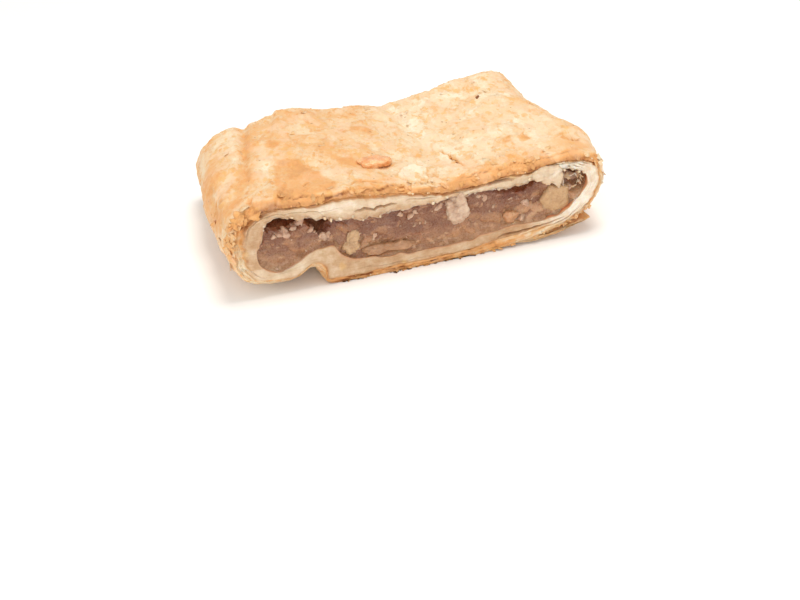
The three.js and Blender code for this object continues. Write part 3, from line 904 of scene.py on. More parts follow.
LEFT_FOLD = (
    (-41.5, 26, 26), (-43.1, 19, 27), (-46.1, 3, 28), (-49.7, -9.2, 27.5), (-55.5, -21, 25), (-58.5, -28, 20),
)
TONES = (
    Tone(
        ((-37, -5.5), (-29.6, -7.3), (-27.5, -18), (-24, -29), (-25.5, -35), (-43, -35), (-42, -29),
         (-39.5, -17)),
        0.3,
    ),
    Tone(((-37, 14.5), (-34.4, 14), (-33.4, 5), (-36, 2)), 0.22),
    Tone(((-9, 14), (-4, 14.5), (-1.5, 10), (-4, 5.5), (-9.5, 7)), 0.16),
    Tone(((1, -9), (5, -7), (8, -11), (6, -15), (2, -14)), 0.16),
    Tone(((31, -17.5), (34.5, -16.5), (35, -20), (32, -21)), 0.42),
    Tone(((36.5, -19), (39.5, -18.5), (40.5, -21.5), (37, -22.5)), 0.42),
    Tone(((14, -30), (20, -29), (23, -33), (17, -36)), 0.16),
    Tone(((-20, -12), (-15, -11.5), (-12.5, -16), (-16, -19), (-20, -16.5)), 0.22),
    Tone(((42, -26), (50, -22), (54, -32), (46, -37), (40, -33)), 0.16),
    Tone(((31, 19), (36, 20), (37, 16.5), (33, 15)), 0.25),
)
FLATTEN = np.array([1.0, 1.0, 0.3])  # distances to a band count mostly as seen from above
BANDS = (
    Band(((-43.8, 27.4, 26), (-47, 9, 27.5), (-50.4, -3.3, 28), (-55, -12, 26)), 1.9, -0.28),
    # browner along the fold at the left: partly baked colour, partly painted shade in the fold's groove
    Band(
        ((-40.5, 23, 27), (-43.1, 5.8, 28), (-46.3, -10.8, 28), (-53.9, -25.5, 26), (-58.8, -37, 22)),
        2.2, 0.2,
    ),
    Band(((-56, 4, 25), (-58, -10, 24), (-59, -22, 22)), 3.0, 0.2),
    Band(
        ((-38, 10, 28), (-38.5, 3.6, 28), (-41, -11.7, 28), (-44.8, -23.8, 28), (-51.4, -30, 28)),
        1.9, -0.18,
    ),
)


def pastry_values(brown: Array, dough: object = 0, crease: object = 0, stain: object = 0) -> dict[str, Array]:
    """What the pastry's mesh carries, each spread to the shape of the browning."""
    carried = {"brown": brown, "dough": dough, "crease": crease, "stain": stain}
    return {name: np.broadcast_to(value, brown.shape) for name, value in carried.items()}


def crease_x(y: Array) -> Array:
    """X of the crease across the top, at places along Y."""
    return 11.2 - np.where(y > 0, 0.0028, 0.008) * y * y


def broken_back(x: Array, y: Array) -> Array:
    """How far the top layer has broken back from the nearer cut, at places along X and Y."""
    side = np.sign(y)
    return 3.0 + 1.7 * noise(x, side, 0, 7) + 1.3 * noise(x, side, 9, 2.5)


def crust_relief(p: Array, direction: Array) -> Array:
    """Height of the crust above its smooth section: the large terms, which are the solid's own.

    They are a crease from the back cut to the front, a raised terrace at the left, a top layer broken
    back from both cuts, swelling flanks with grooves, long waves and a rolled edge.

    Args:
        p: Positions.
        direction: Outward directions.

    Returns:
        Heights.
    """
    x, y, z = p[..., 0], p[..., 1], p[..., 2]
    up = ease(direction[..., 2], 0.2, 0.8)
    flank = np.abs(direction[..., 0])
    to_cut = HALF - np.abs(y)
    crease = -1.1 * bell(x - crease_x(y), 2.6) * ease(y, -26, -8)
    terrace = 1.6 * ease(x - (-35.6 + 7.4 * ease(y, 0, 42)), -1.2, 1.2)
    terrace = terrace * (1 - ease(x, -24, -10)) * ease(y, -4, 40)
    left_fold = -1.2 * bell(x + 46.5 - 0.17 * (y + 5), 1.7) * ease(y, -26, -6)
    step = -0.6 * (1 - ease(to_cut - broken_back(x, y), -0.35, 0.35))
    left_swell = np.where(x < 0, 1.9 * flank * bell(y + 4, 30), 0)
    right_swell = np.where(x > 0, flank * (4.3 * bell(y + 18, 13) - 0.9 * bell(y - 14, 10)), 0)
    grooves = -0.6 * flank * np.maximum(0, noise(0.15 * y, z * 1.4, np.where(x > 0, 9.0, 3.0), 2.4))
    waves = 0.7 * noise(x, y, z, 17) + 0.45 * noise(x, y, z, 6.5)
    roll = -0.7 * (1 - ease(to_cut, 0, 3.2))
    top = up * (crease + terrace + left_fold + step)
    return ease(z, 0.6, 4.0) * (top + left_swell + right_swell + grooves + waves + roll)


def bore_push(p: Array, direction: Array) -> Array:
    """How far the inside of the pastry lies outward of its smooth section; it is torn at the roof's edge.

    Args:
        p: Positions on the smooth section.
        direction: Outward directions.

    Returns:
        Distances.
    """
    x, y, z = (p[..., axis] for axis in range(3))
    near = 1 - ease(HALF - np.abs(y), 0, 5)
    teeth = np.maximum(0, fractal(x, np.sign(y), z, 2.2)) + 0.6 * np.maximum(0, noise(x, 5, z, 0.9))
    return (0.25 + 0.35 * near) * noise(x, y, z, 2.8) - 1.3 * near * teeth * ease(direction[..., 2], 0, 0.6)


def inside(x: Array, y: Array, outline: Sequence[tuple[float, float]]) -> Array:
    """Signed distance to a closed outline, above 0 inside.

    Args:
        x: Places along X.
        y: Places along Y.
        outline: Its corners.

    Returns:
        Distances.
    """
    ring = [*outline, outline[0]]
    distance, _ = line_distance(np.stack([x, y], -1), ring)
    crossings = np.zeros(x.shape, int)
    for (x0, y0), (x1, y1) in zip(ring[:-1], ring[1:]):
        between = (y0 > y) != (y1 > y)
        crossings += between & (x < x0 + (y - y0) * (x1 - x0) / ((y1 - y0) or 1e-9))
    return np.where(crossings % 2 == 1, distance, -distance)


@dataclass
class CrustGrid:
    """The crust's rings with outward directions, how brown each place is and what cracks add to that."""

    points: Array
    direction: Array
    brown: Array
    cracked: Array

    def normals(self) -> Array:
        """Unit normals of the relief.

        Returns:
            Vectors shaped like the points.
        """
        along = np.gradient(self.points, axis=0)
        around = np.roll(self.points, -1, axis=1) - np.roll(self.points, 1, axis=1)
        normal = np.cross(around, along)
        normal /= np.linalg.norm(normal, axis=-1, keepdims=True) + 1e-9
        return normal * np.sign(np.sum(normal * self.direction, axis=-1, keepdims=True) + 1e-9)


@dataclass
class PastryWrap:
    """The wrapped sheet: crust, both cut faces with their layers, and the inside."""

    low: int = 190
    high: int = 330
    rows: int = 124
    front_rings: int = 34
    back_rings: int = 18
    # flaky patches: size, rise and how soft the step is
    levels: tuple[tuple[float, float, float], ...] = ((14.0, 0.18, 0.035), (7.5, 0.14, 0.06), (4.0, 0.09, 0.1))

    def plates(self, p: Array) -> tuple[Array, Array]:
        """Flaky patches: at each level the crust steps up where a field of noise is above 0.

        Args:
            p: Positions.

        Returns:
            Heights and what they add to the browning, with painted shade as a darker line below part of the
            edges.
        """
        x, y, z = (p[..., axis] for axis in range(3))
        height, tone = np.zeros(x.shape), np.zeros(x.shape)
        for number, (size, rise, soft) in enumerate(self.levels):
            patch = fractal(x, y, z + 40 * (number + 1), size, 4)
            height += rise * (ease(patch, -soft, soft) + 0.4 * bell(patch - soft, soft))
            tone += 0.06 * (-1) ** number * (ease(patch, -soft, soft) - 0.5)
            # painted shade: a darker line at the foot of part of each step
            torn = ease(noise(x + 9 * number, y, z, 8), -0.1, 0.4)
            tone += 0.13 * torn * bell(patch + 1.2 * soft, 0.7 * soft)
        return height, tone

    def browning(self, p: Array, direction: Array) -> Array:
        """How brown the crust has baked.

        Args:
            p: Positions.
            direction: Outward directions.

        Returns:
            0 for cream to 1 for dark brown.
        """
        x, y, z = (p[..., axis] for axis in range(3))
        up = ease(direction[..., 2], 0.3, 0.8)
        value = 0.38 + 0.07 * fractal(x, 0.6 * y, z, 14.0, 2) + 0.07 * fractal(x, 0.6 * y, z, 5.0)
        value = value - 0.13 * up * ease(x, -8, 14) * (1 - ease(x, 40, 56)) * ease(y, -36, -22)
        value = value - 0.08 * up * bell(x - crease_x(y) - 2.0, 4.0) * ease(y, -28, -6)
        value = value + 0.06 * up * bell(x + 30, 18) + 0.08 * up * bell(x - 48, 10) * bell(y + 26, 14)
        value = value + 0.1 * up * bell(HALF + y, 9.0) * (y < 0)
        value = value - 0.15 * ease(-x, 44, 53) * bell(z - 8, 7) * (1 - ease(y, -38, -26))
        warp = 0.9 * fractal(x, y, 2, 4.0) + 0.4 * noise(x, y, 5, 1.2)
        for tone in TONES:
            value = value + tone.extra * up * ease(inside(x, y, tone.outline) + warp, -0.8, 1.1)
        for band in BANDS:
            distance, _ = line_distance(p * FLATTEN, np.asarray(band.line) * FLATTEN)
            value = value + band.extra * bell(distance + 0.8 * warp, band.half)
        heel = ease(-direction[..., 2], 0.3, 0.8) * ease(x, -33, -29)
        return value + 0.26 * heel + 0.12 * np.abs(direction[..., 0])

    def torn(self, p: Array, to_cut: Array) -> tuple[Array, Array]:
        """Shredded layers at the front's left and right ends, and the rough notch under the left.

        Args:
            p: Positions on the smooth section.
            to_cut: Distances from the nearer cut.

        Returns:
            Heights and what they add to the browning.
        """
        x, y, z = (p[..., axis] for axis in range(3))
        shred = np.exp(-(((x + 53) / 6.5) ** 2) - ((y + 38) / 7) ** 2 - ((z - 19) / 9) ** 2)
        shred = shred + 0.6 * np.exp(-(((x - 57) / 4) ** 2) - ((y + 38) / 5) ** 2 - ((z - 17) / 9) ** 2)
        torn = 1 - 2 * np.abs(noise(x, y, z, 2.1))
        notch = bell(x + 31, 4.5) * (1 - ease(z, 7, 10)) * (1 - ease(to_cut, 1, 5)) * (y < 0)
        height = shred * (0.7 * torn + 0.5 * fractal(x, y, z, 1.2))
        height = height + notch * (0.9 * fractal(x, y, z, 1.5) + 0.5 * noise(x, y, z, 0.8))
        return height, shred * (0.3 * fractal(x, y, z + 9, 2.2) - 0.16 * torn - 0.06)

    def broken(self, p: Array, up: Array, to_cut: Array) -> tuple[Array, Array]:
        """The top layers where they have broken back from the cuts, in steps with browner edges.

        Args:
            p: Positions on the smooth section.
            up: How much each place faces up.
            to_cut: Distances from the nearer cut.

        Returns:
            Heights and what they add to the browning.
        """
        x, y, z = (p[..., axis] for axis in range(3))
        side, back = np.sign(y), broken_back(x, y)
        bare = (1 - ease(to_cut - back, -0.4, 0.4)) * up
        grainy = fractal(x, y, z + 3, 1.4)
        brown = bare * (0.14 + 0.12 * (1 - ease(x, 12, 30)) + 0.05 * noise(x, y, 3, 2.5) + 0.03 * grainy)
        brown = brown + 0.24 * up * bell(to_cut - back + 0.2, 0.26) * ease(noise(x, side, 6, 5), -0.3, 0.2)
        height = 0.2 * bare * grainy + 0.12 * bare * noise(x, y, 8, 0.7)
        for share, extra in ((0.66, 3.0), (0.36, 6.0)):
            edge = share * back + 0.5 * noise(x, side, extra, 2.2) + 0.2 * noise(x, side, extra, 0.8) - to_cut
            height = height - 0.35 * ease(edge, -0.2, 0.2)
            brown = brown + 0.16 * bell(edge, 0.28) * ease(noise(x, side, extra + 2, 4), -0.4, 0.2)
        return height, brown

    def singed(self, p: Array, up: Array, to_cut: Array) -> Array:
        """Extra browning along the cuts and under the broken edge of the top layer.

        Args:
            p: Positions on the smooth section.
            up: How much each place faces up.
            to_cut: Distances from the nearer cut.

        Returns:
            What it adds to the browning.
        """
        x, y, z = (p[..., axis] for axis in range(3))
        side, grainy = np.sign(y), fractal(x, y, z + 3, 1.4)
        rim = 0.13 + 0.05 * ease(x, 4, 16) + 0.05 * noise(x, side, 4, 4)
        rim = rim * up * (1 - ease(to_cut + 0.4 * grainy, 0.6, 2.4)) * (1 - 0.7 * bell(x + 14, 10) * (y < 0))
        under = bell(to_cut - broken_back(x, y) + 0.25, 0.22) * ease(noise(x, side, 6, 5), -0.4, 0.1)
        return rim + 0.13 * up * under

    def cracks(self, moved: Array, smooth: Array, direction: Array, up: Array) -> tuple[Array, Array]:
        """Opens the cracks: each is a groove with a low lip along a line that wanders with a noise.

        Args:
            moved: Positions on the relief.
            smooth: Positions on the smooth section.
            direction: Outward directions.
            up: How much each place faces up.

        Returns:
            Positions with the cracks, and what they add to the browning.
        """
        x, y, z = (smooth[..., axis] for axis in range(3))
        from_floor = ease(z, 0.8, 3.0)
        cracked = np.zeros(x.shape)
        wander = [0.8 * noise(x, y, z + n, 2.4) + 0.35 * noise(x, y, z + n, 0.8) for n in (11, 23, 37)]
        wander = np.stack(wander, -1)
        for crack in CRACKS:
            along_flank = abs(crack.line[1][0]) > 54
            flatten = np.array([0.2, 1.0, 1.0]) if along_flank else np.array([1.0, 1.0, 0.2])
            distance, along = line_distance((moved + wander) * flatten, np.asarray(crack.line) * flatten)
            distance = distance + 5 * ((x * crack.line[1][0] < 0) if along_flank else (1 - up))
            depth = np.sin(math.pi * np.clip(along, 0.02, 0.98)) ** 0.5
            gap = bell(distance, crack.width) * depth
            lip = 0.25 * bell(distance - 1.1, 0.5) * depth
            moved = moved + ((lip - crack.depth * gap) * from_floor)[..., None] * direction
            cracked = np.maximum(cracked, crack.brown * gap)
        return moved, cracked

    def crust(self) -> CrustGrid:
        """The outside of the crust.

        Returns:
            The grid.
        """
        smooth = sections(CRUST_FRONT, CRUST_BACK, stops(self.rows, 0.35), self.low, self.high)
        direction = outward(smooth)
        x, y, z = (smooth[..., axis] for axis in range(3))
        up = ease(direction[..., 2], 0.2, 0.8)
        to_cut = HALF - np.abs(y)
        brown = self.browning(smooth, direction)
        detail = 0.07 * (1 - np.abs(fractal(x, 0.7 * y, z, 3.2))) + 0.05 * fractal(x, y, z, 1.3)
        for height, tone in (self.plates(smooth), self.broken(smooth, up, to_cut), self.torn(smooth, to_cut)):
            detail = detail + height
            brown = brown + tone
        fold, _ = line_distance(smooth, LEFT_FOLD)
        detail = detail - 0.5 * bell(fold, 1.3) * (1 + 0.4 * noise(x, y, z, 3))
        for flake in RAISED:
            warp = 0.5 * fractal(x, y, 7, 2.4)
            within = np.where(direction[..., 2] > 0.2, inside(x, y, flake.outline) + warp, -9.0)
            detail = detail + flake.rise * ease(within, -0.25, 0.3) * (1 - 0.3 * ease(within, 0.3, 2))
            # paler flakes, with painted shade as a browner ring just outside their outline
            brown = brown - flake.pale * ease(within, -0.2, 0.4) + 0.2 * bell(within + 0.35, 0.3)
        moved = smooth + (crust_relief(smooth, direction) + ease(z, 0.8, 3.0) * detail)[..., None] * direction
        brown = brown - 0.6 * np.maximum(0, brown - 0.66) + self.singed(smooth, up, to_cut)
        moved, cracked = self.cracks(moved, smooth, direction, up)
        moved[..., 2] = np.maximum(moved[..., 2], 0.0)
        for row, sign in ((0, 1), (-1, -1)):
            fray = 0.9 * np.maximum(0, noise(moved[row, :, 0], sign, moved[row, :, 2], 3.0))
            fray = fray + 0.35 * (1 + fractal(moved[row, :, 0], sign, moved[row, :, 2], 0.9))
            moved[row, :, 1] += sign * fray
        return CrustGrid(moved, direction, brown, cracked)

    def bore(self) -> Array:
        """The inside of the pastry, more ragged at the cuts.

        Returns:
            Rings from the back cut to the front.
        """
        y = np.array([-38, -37.5, -36.6, -34.5, -30, -20, -10, 0, 10, 20, 30, 34.5, 36.6, 37.5, 38])
        rings = sections(BORE_FRONT, BORE_BACK, y, self.low, self.high)
        direction = outward(rings)
        return (rings + bore_push(rings, direction)[..., None] * direction)[::-1]

    def cut(self, crust: CrustGrid, bore: Array, side: Side) -> dict[str, Array]:
        """The layered cut face between crust and bore.

        Fine streaks follow the layers, the browned crust lies behind the dough, and gaps open between
        sub-layers over parts of the front cut.

        Args:
            crust: The crust.
            bore: The bore's ring on this side.
            side: Which cut it is.

        Returns:
            Rings from crust to bore as `points`, and the values `brown`, `dough`, `crease` and `stain`.
        """
        row = 0 if side is Side.FRONT else -1
        outer = crust.points[row]
        rings = self.front_rings if side is Side.FRONT else self.back_rings
        share = ((np.arange(rings) + 1) / (rings + 1))[:, None]
        grid = (1 - share[..., None]) * outer + share[..., None] * bore
        x, z = grid[..., 0], grid[..., 2]
        wall = np.linalg.norm((outer - bore)[:, [0, 2]], axis=-1)[None]
        step = np.linalg.norm(np.diff(outer[:, [0, 2]], axis=0, append=outer[:1, [0, 2]]), axis=-1)
        arc = np.cumsum(step)[None]
        above = (np.arange(self.low + self.high) >= self.low)[None]
        inward = share * wall
        end_x, end_z = outer[None, :, 0], outer[None, :, 2]
        floor = ~above & (end_z < 9)
        # how thick the browned crust is: thicker under the floor and at the left end
        browned = 0.9 + 0.5 * noise(arc, side, 3, 5) + 0.3 * noise(arc, side, 5, 1.6)
        under = 0.9 * ease(end_x, -32, -29) + 1.3 * ease(end_x, 2, 32) - 2.4 * ease(end_x, 37, 45)
        browned = browned + np.where(floor, under - 0.4 * (1 - ease(end_x, -36, -31)), 0)
        left = (1 - ease(end_x, -52, -43)) * ease(end_z, 4, 10)
        right = ease(end_x, 44, 52) * ease(end_z, 7, 11)
        browned = browned + 1.9 * left * (1 - 0.6 * ease(end_z, 22, 27)) - 0.2 * right
        crusty = 1 - ease(inward - browned, -0.35, 0.45)
        # how deep each place lies behind the plane of the cut
        streak = noise(0.14 * arc, 2.1 * inward, side, 1.0) + 0.5 * noise(0.3 * arc, 4.5 * inward, side, 1.0)
        depth = 0.35 + 0.35 * noise(x, side, z, 6) + 0.12 * fractal(x, side, z, 1.8) + 0.06 * streak
        rough = 0.6 + 0.7 * np.abs(fractal(x, side, z, 1.5)) + 0.35 * np.abs(noise(0.4 * arc, 5 * inward, 2, 1))
        depth = depth + crusty * rough * (1 - 0.5 * floor)
        shred = left * (1 - ease(inward - browned, -0.4, 0.8))
        layered = 0.8 * np.abs(noise(0.3 * arc, 2.2 * inward, 5, 1))
        depth = depth + shred * (1.1 * np.abs(fractal(x, side, z, 2.4)) + layered)
        wander = 0.35 * noise(x, side, z, 5) + 0.15 * noise(x, side, z, 1.5)
        opened, groove = self.gaps(x, wall, inward + wander, above, side)
        for number, place in enumerate((0.24, 0.45, 0.7)):
            wide = (0.8 * right + 0.55 * left * (place < 0.5)) * ease(noise(arc, number, side, 6), -0.5, 0.3)
            gap = wide * bell(inward - place * wall + wander, 0.2)
            opened = opened + 1.3 * gap
            groove = np.maximum(groove, 0.6 * gap)
        ragged = ease(share, 0.8, 1.0) * (above | (end_x > 44))
        depth = depth + opened + ragged * 0.9 * np.maximum(0, fractal(x, side, z + 5, 1.2))
        grid[..., 1] = side * (HALF - np.clip(depth, 0.05, 4.5))
        # browning of the crust's edge, and of the dough behind it
        baked = crust.brown[row] + 0.1 + 0.16 * streak
        baked = baked - left * (0.08 + 0.2 * fractal(0.4 * x, side, 1.3 * z, 1.5))
        baked = baked + floor * (0.2 * noise(0.5 * arc, 2 * inward, 7, 1.0) + 0.12 * fractal(x, side, z, 0.9))
        # towards the right end the bottom crust is coloured lighter: painted light against the shade by the
        # floor
        baked = baked + floor * (0.06 - 0.44 * ease(end_x, 12, 36)) - 0.2 * left * (1 - ease(end_z, 10, 17))
        # the dough along the bottom is darker: partly its own greasy tone, partly painted shade beneath the
        # slice
        steamed = 0.26 + 0.2 * (1 - ease(inward - browned, 0, 1.3)) + 0.34 * floor * (1 - ease(end_x, 30, 44))
        steamed = steamed - 0.2 * floor * (1 - ease(end_x, -42, -34))
        steamed = steamed - 0.32 * ease(end_x, 34, 48) + 0.34 * (1 - ease(end_x, -48, -36)) * (1 - floor)
        soaked = above * ease(share, 0.35, 0.95) * (1 - ease(end_x, 4, 18)) * ease(end_x, -44, -32)
        steamed = steamed + 0.3 * soaked + 0.16 * ease(end_x, 16, 30)
        steamed = steamed + 0.16 * ease(end_x, 44, 52) * fractal(x, side, z, 2.2)
        dough = (1 - crusty) * (1 - 0.4 * shred * ease(streak, -0.5, 0.5))
        # painted shade in the open gaps between sub-layers, and some along the crust's streaks
        crease = np.clip(0.8 * groove + 0.35 * crusty * np.abs(streak), 0, 1)
        brown = crusty * baked + (1 - crusty) * steamed
        return {"points": grid, **pastry_values(brown, dough, crease, 0.25 * ease(share, 0.9, 1.0))}

    def gaps(self, x: Array, wall: Array, inward: Array, above: Array, side: Side) -> tuple[Array, Array]:
        """Gaps that stand open between sub-layers at the front cut.

        Args:
            x: Places along X.
            wall: Thickness of the wall there.
            inward: Distances from the crust's edge, with the wander of the layers.
            above: Whether a place is in the roof.
            side: Which cut it is.

        Returns:
            How deep they are, and how much painted shade darkens them, from 0 to 1.
        """
        depth, groove = np.zeros(x.shape), np.zeros(x.shape)
        for slit in SLITS if side is Side.FRONT else ():
            middle = 0.5 * (slit.first + slit.last)
            reach = np.clip(1 - np.abs((x - middle) / (0.5 * (slit.last - slit.first))), 0, 1) ** 0.5
            gap = reach * bell((inward - slit.place * wall) / slit.half, 1.0) * (above == slit.above)
            depth = depth + slit.depth * gap
            groove = np.maximum(groove, gap * min(1.0, slit.depth / 1.5))
        return depth, groove

    def make(self, crust: CrustGrid, bore: Array, material: Material) -> bpy.types.Object:
        """Builds the piece.

        Args:
            crust: The crust's rings.
            bore: The bore's rings.
            material: The pastry's finish.

        Returns:
            The piece.
        """
        back, front = self.cut(crust, bore[0], Side.BACK), self.cut(crust, bore[-1], Side.FRONT)
        away = ease(HALF - np.abs(bore[..., 1]), 0.2, 1.6)
        outside = {"points": crust.points, **pastry_values(crust.brown + crust.cracked)}
        within = {"points": bore, **pastry_values(np.full(away.shape, 0.6), 1 - away, 0, 0.25 + 0.7 * away)}
        front = {name: numbers[::-1] for name, numbers in front.items()}
        parts = (outside, back, within, front)
        whole = {name: np.concatenate([part[name] for part in parts]) for name in outside}
        points = whole.pop("points")
        quads = ring_quads(len(points), self.low + self.high, True)
        values = {name: numbers.reshape(-1) for name, numbers in whole.items()}
        shape = Shape(points.reshape(-1, 3), quads, values)
        return shape.build("pastry_wrap", material, Slot.CRUST, "pastry")


def heel_strip() -> Shape:
    """The strip of crust that peels off under the right heel and closes up to the rear.

    Returns:
        The strip with the pastry's values.
    """
    profile = np.array([(28, 1.0), (35, 0.9), (41.1, 1.7), (45.7, 2.9), (49.5, 4.1), (52.4, 5.2), (49.3, 4.7),
                        (45.4, 3.5), (40.8, 2.5), (35, 1.6), (28, 1.3)], float)
    rows, around = 40, 120
    ring = closed_curve(profile[None], np.linspace(0, len(profile), around, endpoint=False))[0]
    share = np.linspace(0, 1, rows)[:, None]
    x, z = ring[None, :, 0], ring[None, :, 1]
    points = np.empty((rows, around, 3))
    points[..., 0] = 28 + (x - 28) * (1 - 0.3 * share**2)
    fray = 0.5 * np.abs(noise(x, 0, 0, 2)) + 0.5 * np.abs(fractal(x, 3, z, 1.1))
    points[..., 1] = -HALF + fray * ease(x, 30, 40) + 1.2 * (1 - ease(x, 28, 34)) + 22 * share
    points[..., 2] = z + 2.4 * share**1.5
    px, py, pz = (points[..., axis] for axis in range(3))
    points[..., 2] += 0.22 * fractal(px, py, 1, 2.5) + 0.12 * noise(0.3 * px, py, 3 * pz, 1.0)
    points[..., 0] += 0.5 * ease(px, 44, 50) * fractal(1, py, pz, 1.6)
    points[..., 2] = np.maximum(points[..., 2], 0.1)
    middles = points[[0, -1]].mean(axis=1)
    brown = np.append(0.55 + 0.2 * fractal(px, py, pz, 1.6), [0.6, 0.6])
    return Shape(np.concatenate([points.reshape(-1, 3), middles]), capped(rows, around), pastry_values(brown))


def roof_flap() -> Shape:
    """The pale torn flap that hangs from the roof before the right end of the filling.

    Returns:
        The flap with the pastry's values.
    """
    outline = np.array([(33.6, 22.8), (37, 24.6), (42.2, 24.2), (43.4, 20.6), (42.2, 17.2),
                        (40.2, 18.6), (38, 18.4),
                        (36.6, 20.2), (34.4, 20.4)])
    rows, around = 12, 96
    ring = closed_curve(outline[None], np.linspace(0, len(outline), around, endpoint=False))[0]
    ring = ring + 0.6 * np.stack([fractal(ring[:, 0], n, ring[:, 1], 1.0) for n in (1, 9)], -1)
    middle = ring.mean(axis=0)
    share = np.concatenate([np.linspace(0.1, 1, rows), np.linspace(1, 0.1, rows)])[:, None, None]
    flat = middle + share * (ring - middle)
    x, z = flat[..., 0], flat[..., 1]
    bulge = 0.35 * fractal(x, 2, z, 3.0) + 0.12 * fractal(x, 4, z, 0.9)
    face = np.concatenate([-np.ones(rows), np.ones(rows)])[:, None]
    y = -HALF + 0.55 + bulge + face * 0.5 * (1 - 0.6 * share[..., 0] ** 6)
    points = np.stack([x, y, z], -1)
    poles = points[[0, -1]].mean(axis=1)
    edge = np.append(np.repeat(share[:, 0, 0] ** 6, around), [0, 0])
    # a browner rim, with a little painted shade along it in `crease`
    values = pastry_values(0.3 + 0.2 * edge, 1, 0.1 * edge)
    return Shape(np.concatenate([points.reshape(-1, 3), poles]), capped(2 * rows, around), values)


def shards(draw: np.random.Generator) -> Shape:
    """Thin curls of torn dough in the hollow at the right end of the front cut.

    Args:
        draw: Source of randomness.

    Returns:
        The curls with the pastry's values.
    """
    count = 16
    turn = draw.uniform(0, 2 * math.pi, count)
    reach = draw.uniform(0.2, 1.0, count) ** 0.5
    place = np.stack([46.8 + 3.4 * reach * np.cos(turn), draw.uniform(-36.9, -34.6, count),
                      18.2 + 2.9 * reach * np.sin(turn)], -1)
    facing = np.stack([np.cos(turn), draw.normal(-0.5, 0.5, count), np.sin(turn)], -1)
    facing /= np.linalg.norm(facing, axis=1, keepdims=True)
    length = draw.uniform(2.0, 4.2, count)
    thick = draw.uniform(0.2, 0.45, count)
    curls = thin_flakes(place, facing, np.stack([length, 0.6 * length], -1), thick, draw)
    tone = per_copy(draw.uniform(0.1, 0.6, count), curls)
    curls.values = pastry_values(tone, 1, 0, per_copy(draw.uniform(0.05, 0.35, count), curls))
    return curls


@dataclass
class LooseFlakes:
    """Thin flakes on the crust and at the cuts, joined with the peeled strip and the hanging flap."""

    crust: CrustGrid
    seed: int = 11

    def on_crust(self, weight: Array, count: int, draw: np.random.Generator) -> tuple[Array, ...]:
        """Draws places on the crust.

        Args:
            weight: How likely each place is.
            count: How many to draw.
            draw: Source of randomness.

        Returns:
            Positions, normals and browning.
        """
        flat = weight.reshape(-1)
        picks = draw.choice(flat.size, count, p=flat / flat.sum())
        return (self.crust.points.reshape(-1, 3)[picks], self.crust.normals().reshape(-1, 3)[picks],
                self.crust.brown.reshape(-1)[picks])

    def make(self, material: Material) -> bpy.types.Object:
        """Builds the piece.

        Args:
            material: The pastry's finish.

        Returns:
            The piece.
        """
        draw = np.random.default_rng(self.seed)
        x, y, z = (self.crust.points[..., axis] for axis in range(3))
        up = self.crust.direction[..., 2]
        to_cut = HALF - np.abs(y)
        shapes = [heel_strip(), roof_flap(), shards(draw)]
        # where flakes lie: weight, how many, sizes, lean away from the crust, extra browning
        corner = np.exp(-(((x + 53) / 6) ** 2) - ((y + 36) / 5) ** 2 - ((z - 19) / 8) ** 2)
        heel = (z < 9) * (up < 0.2) * (x > -28) * bell(to_cut, 1.6) * (y < 0)
        flank = ease(z, 5, 9) * (1 - ease(up, 0.3, 0.6)) * (y < 30)
        kinds = (
            (ease(up, 0.3, 0.7) * bell(to_cut - 2.6, 2.4) * (y < 0), 46, (0.9, 3.2), 0.08, -0.08),
            (corner, 12, (2.6, 5.0), 0.12, -0.08),
            (corner, 14, (1.0, 2.4), 0.22, -0.05),
            (bell(x - 57, 4) * bell(to_cut - 1, 3) * ease(z, 6, 12) * (y < 0), 12, (1.2, 3.0), 0.1, -0.2),
            (heel, 80, (0.8, 2.4), 0.3, -0.05),
            (bell(to_cut, 1.5) * ease(z, 3, 8) * (1 - ease(up, 0.2, 0.5)), 20, (0.8, 2.0), 0.2, -0.15),
            (flank, 12, (1.6, 4.0), 0.1, 0.0),
            (ease(up, 0.6, 0.9) * ease(to_cut, 3, 7) * (0.3 + ease(x, -12, 16)), 44, (1.2, 3.0), 0.02, -0.04),
        )
        for weight, count, (small, large), lean, darker in kinds:
            place, normal, brown = self.on_crust(weight, count, draw)
            length = draw.uniform(small, large, count)
            size = np.stack([length, length * draw.uniform(0.45, 0.9, count)], -1)
            tilted = normal + lean * draw.normal(0, 1, (count, 3))
            tilted /= np.linalg.norm(tilted, axis=1, keepdims=True)
            lift = draw.uniform(0.0, 0.12, count)[:, None] + 0.3 * lean * draw.uniform(0, 1, (count, 1))
            lift = lift - 0.14 * (lean < 0.05)
            flakes = thin_flakes(place + lift * normal, tilted, size, draw.uniform(0.12, 0.26, count), draw)
            tone = np.minimum(brown + darker + draw.normal(0, 0.09, count), 0.72)
            tone = per_copy(tone, flakes) + flakes.values["edge"]
            flakes.values = pastry_values(tone, per_copy(0.4 * (draw.random(count) < 0.1), flakes))
            flakes.points[:, 2] = np.maximum(flakes.points[:, 2], 0.05)
            shapes.append(flakes)
        return Shape.joined(shapes).build("pastry_flakes", material, Slot.CRUST)


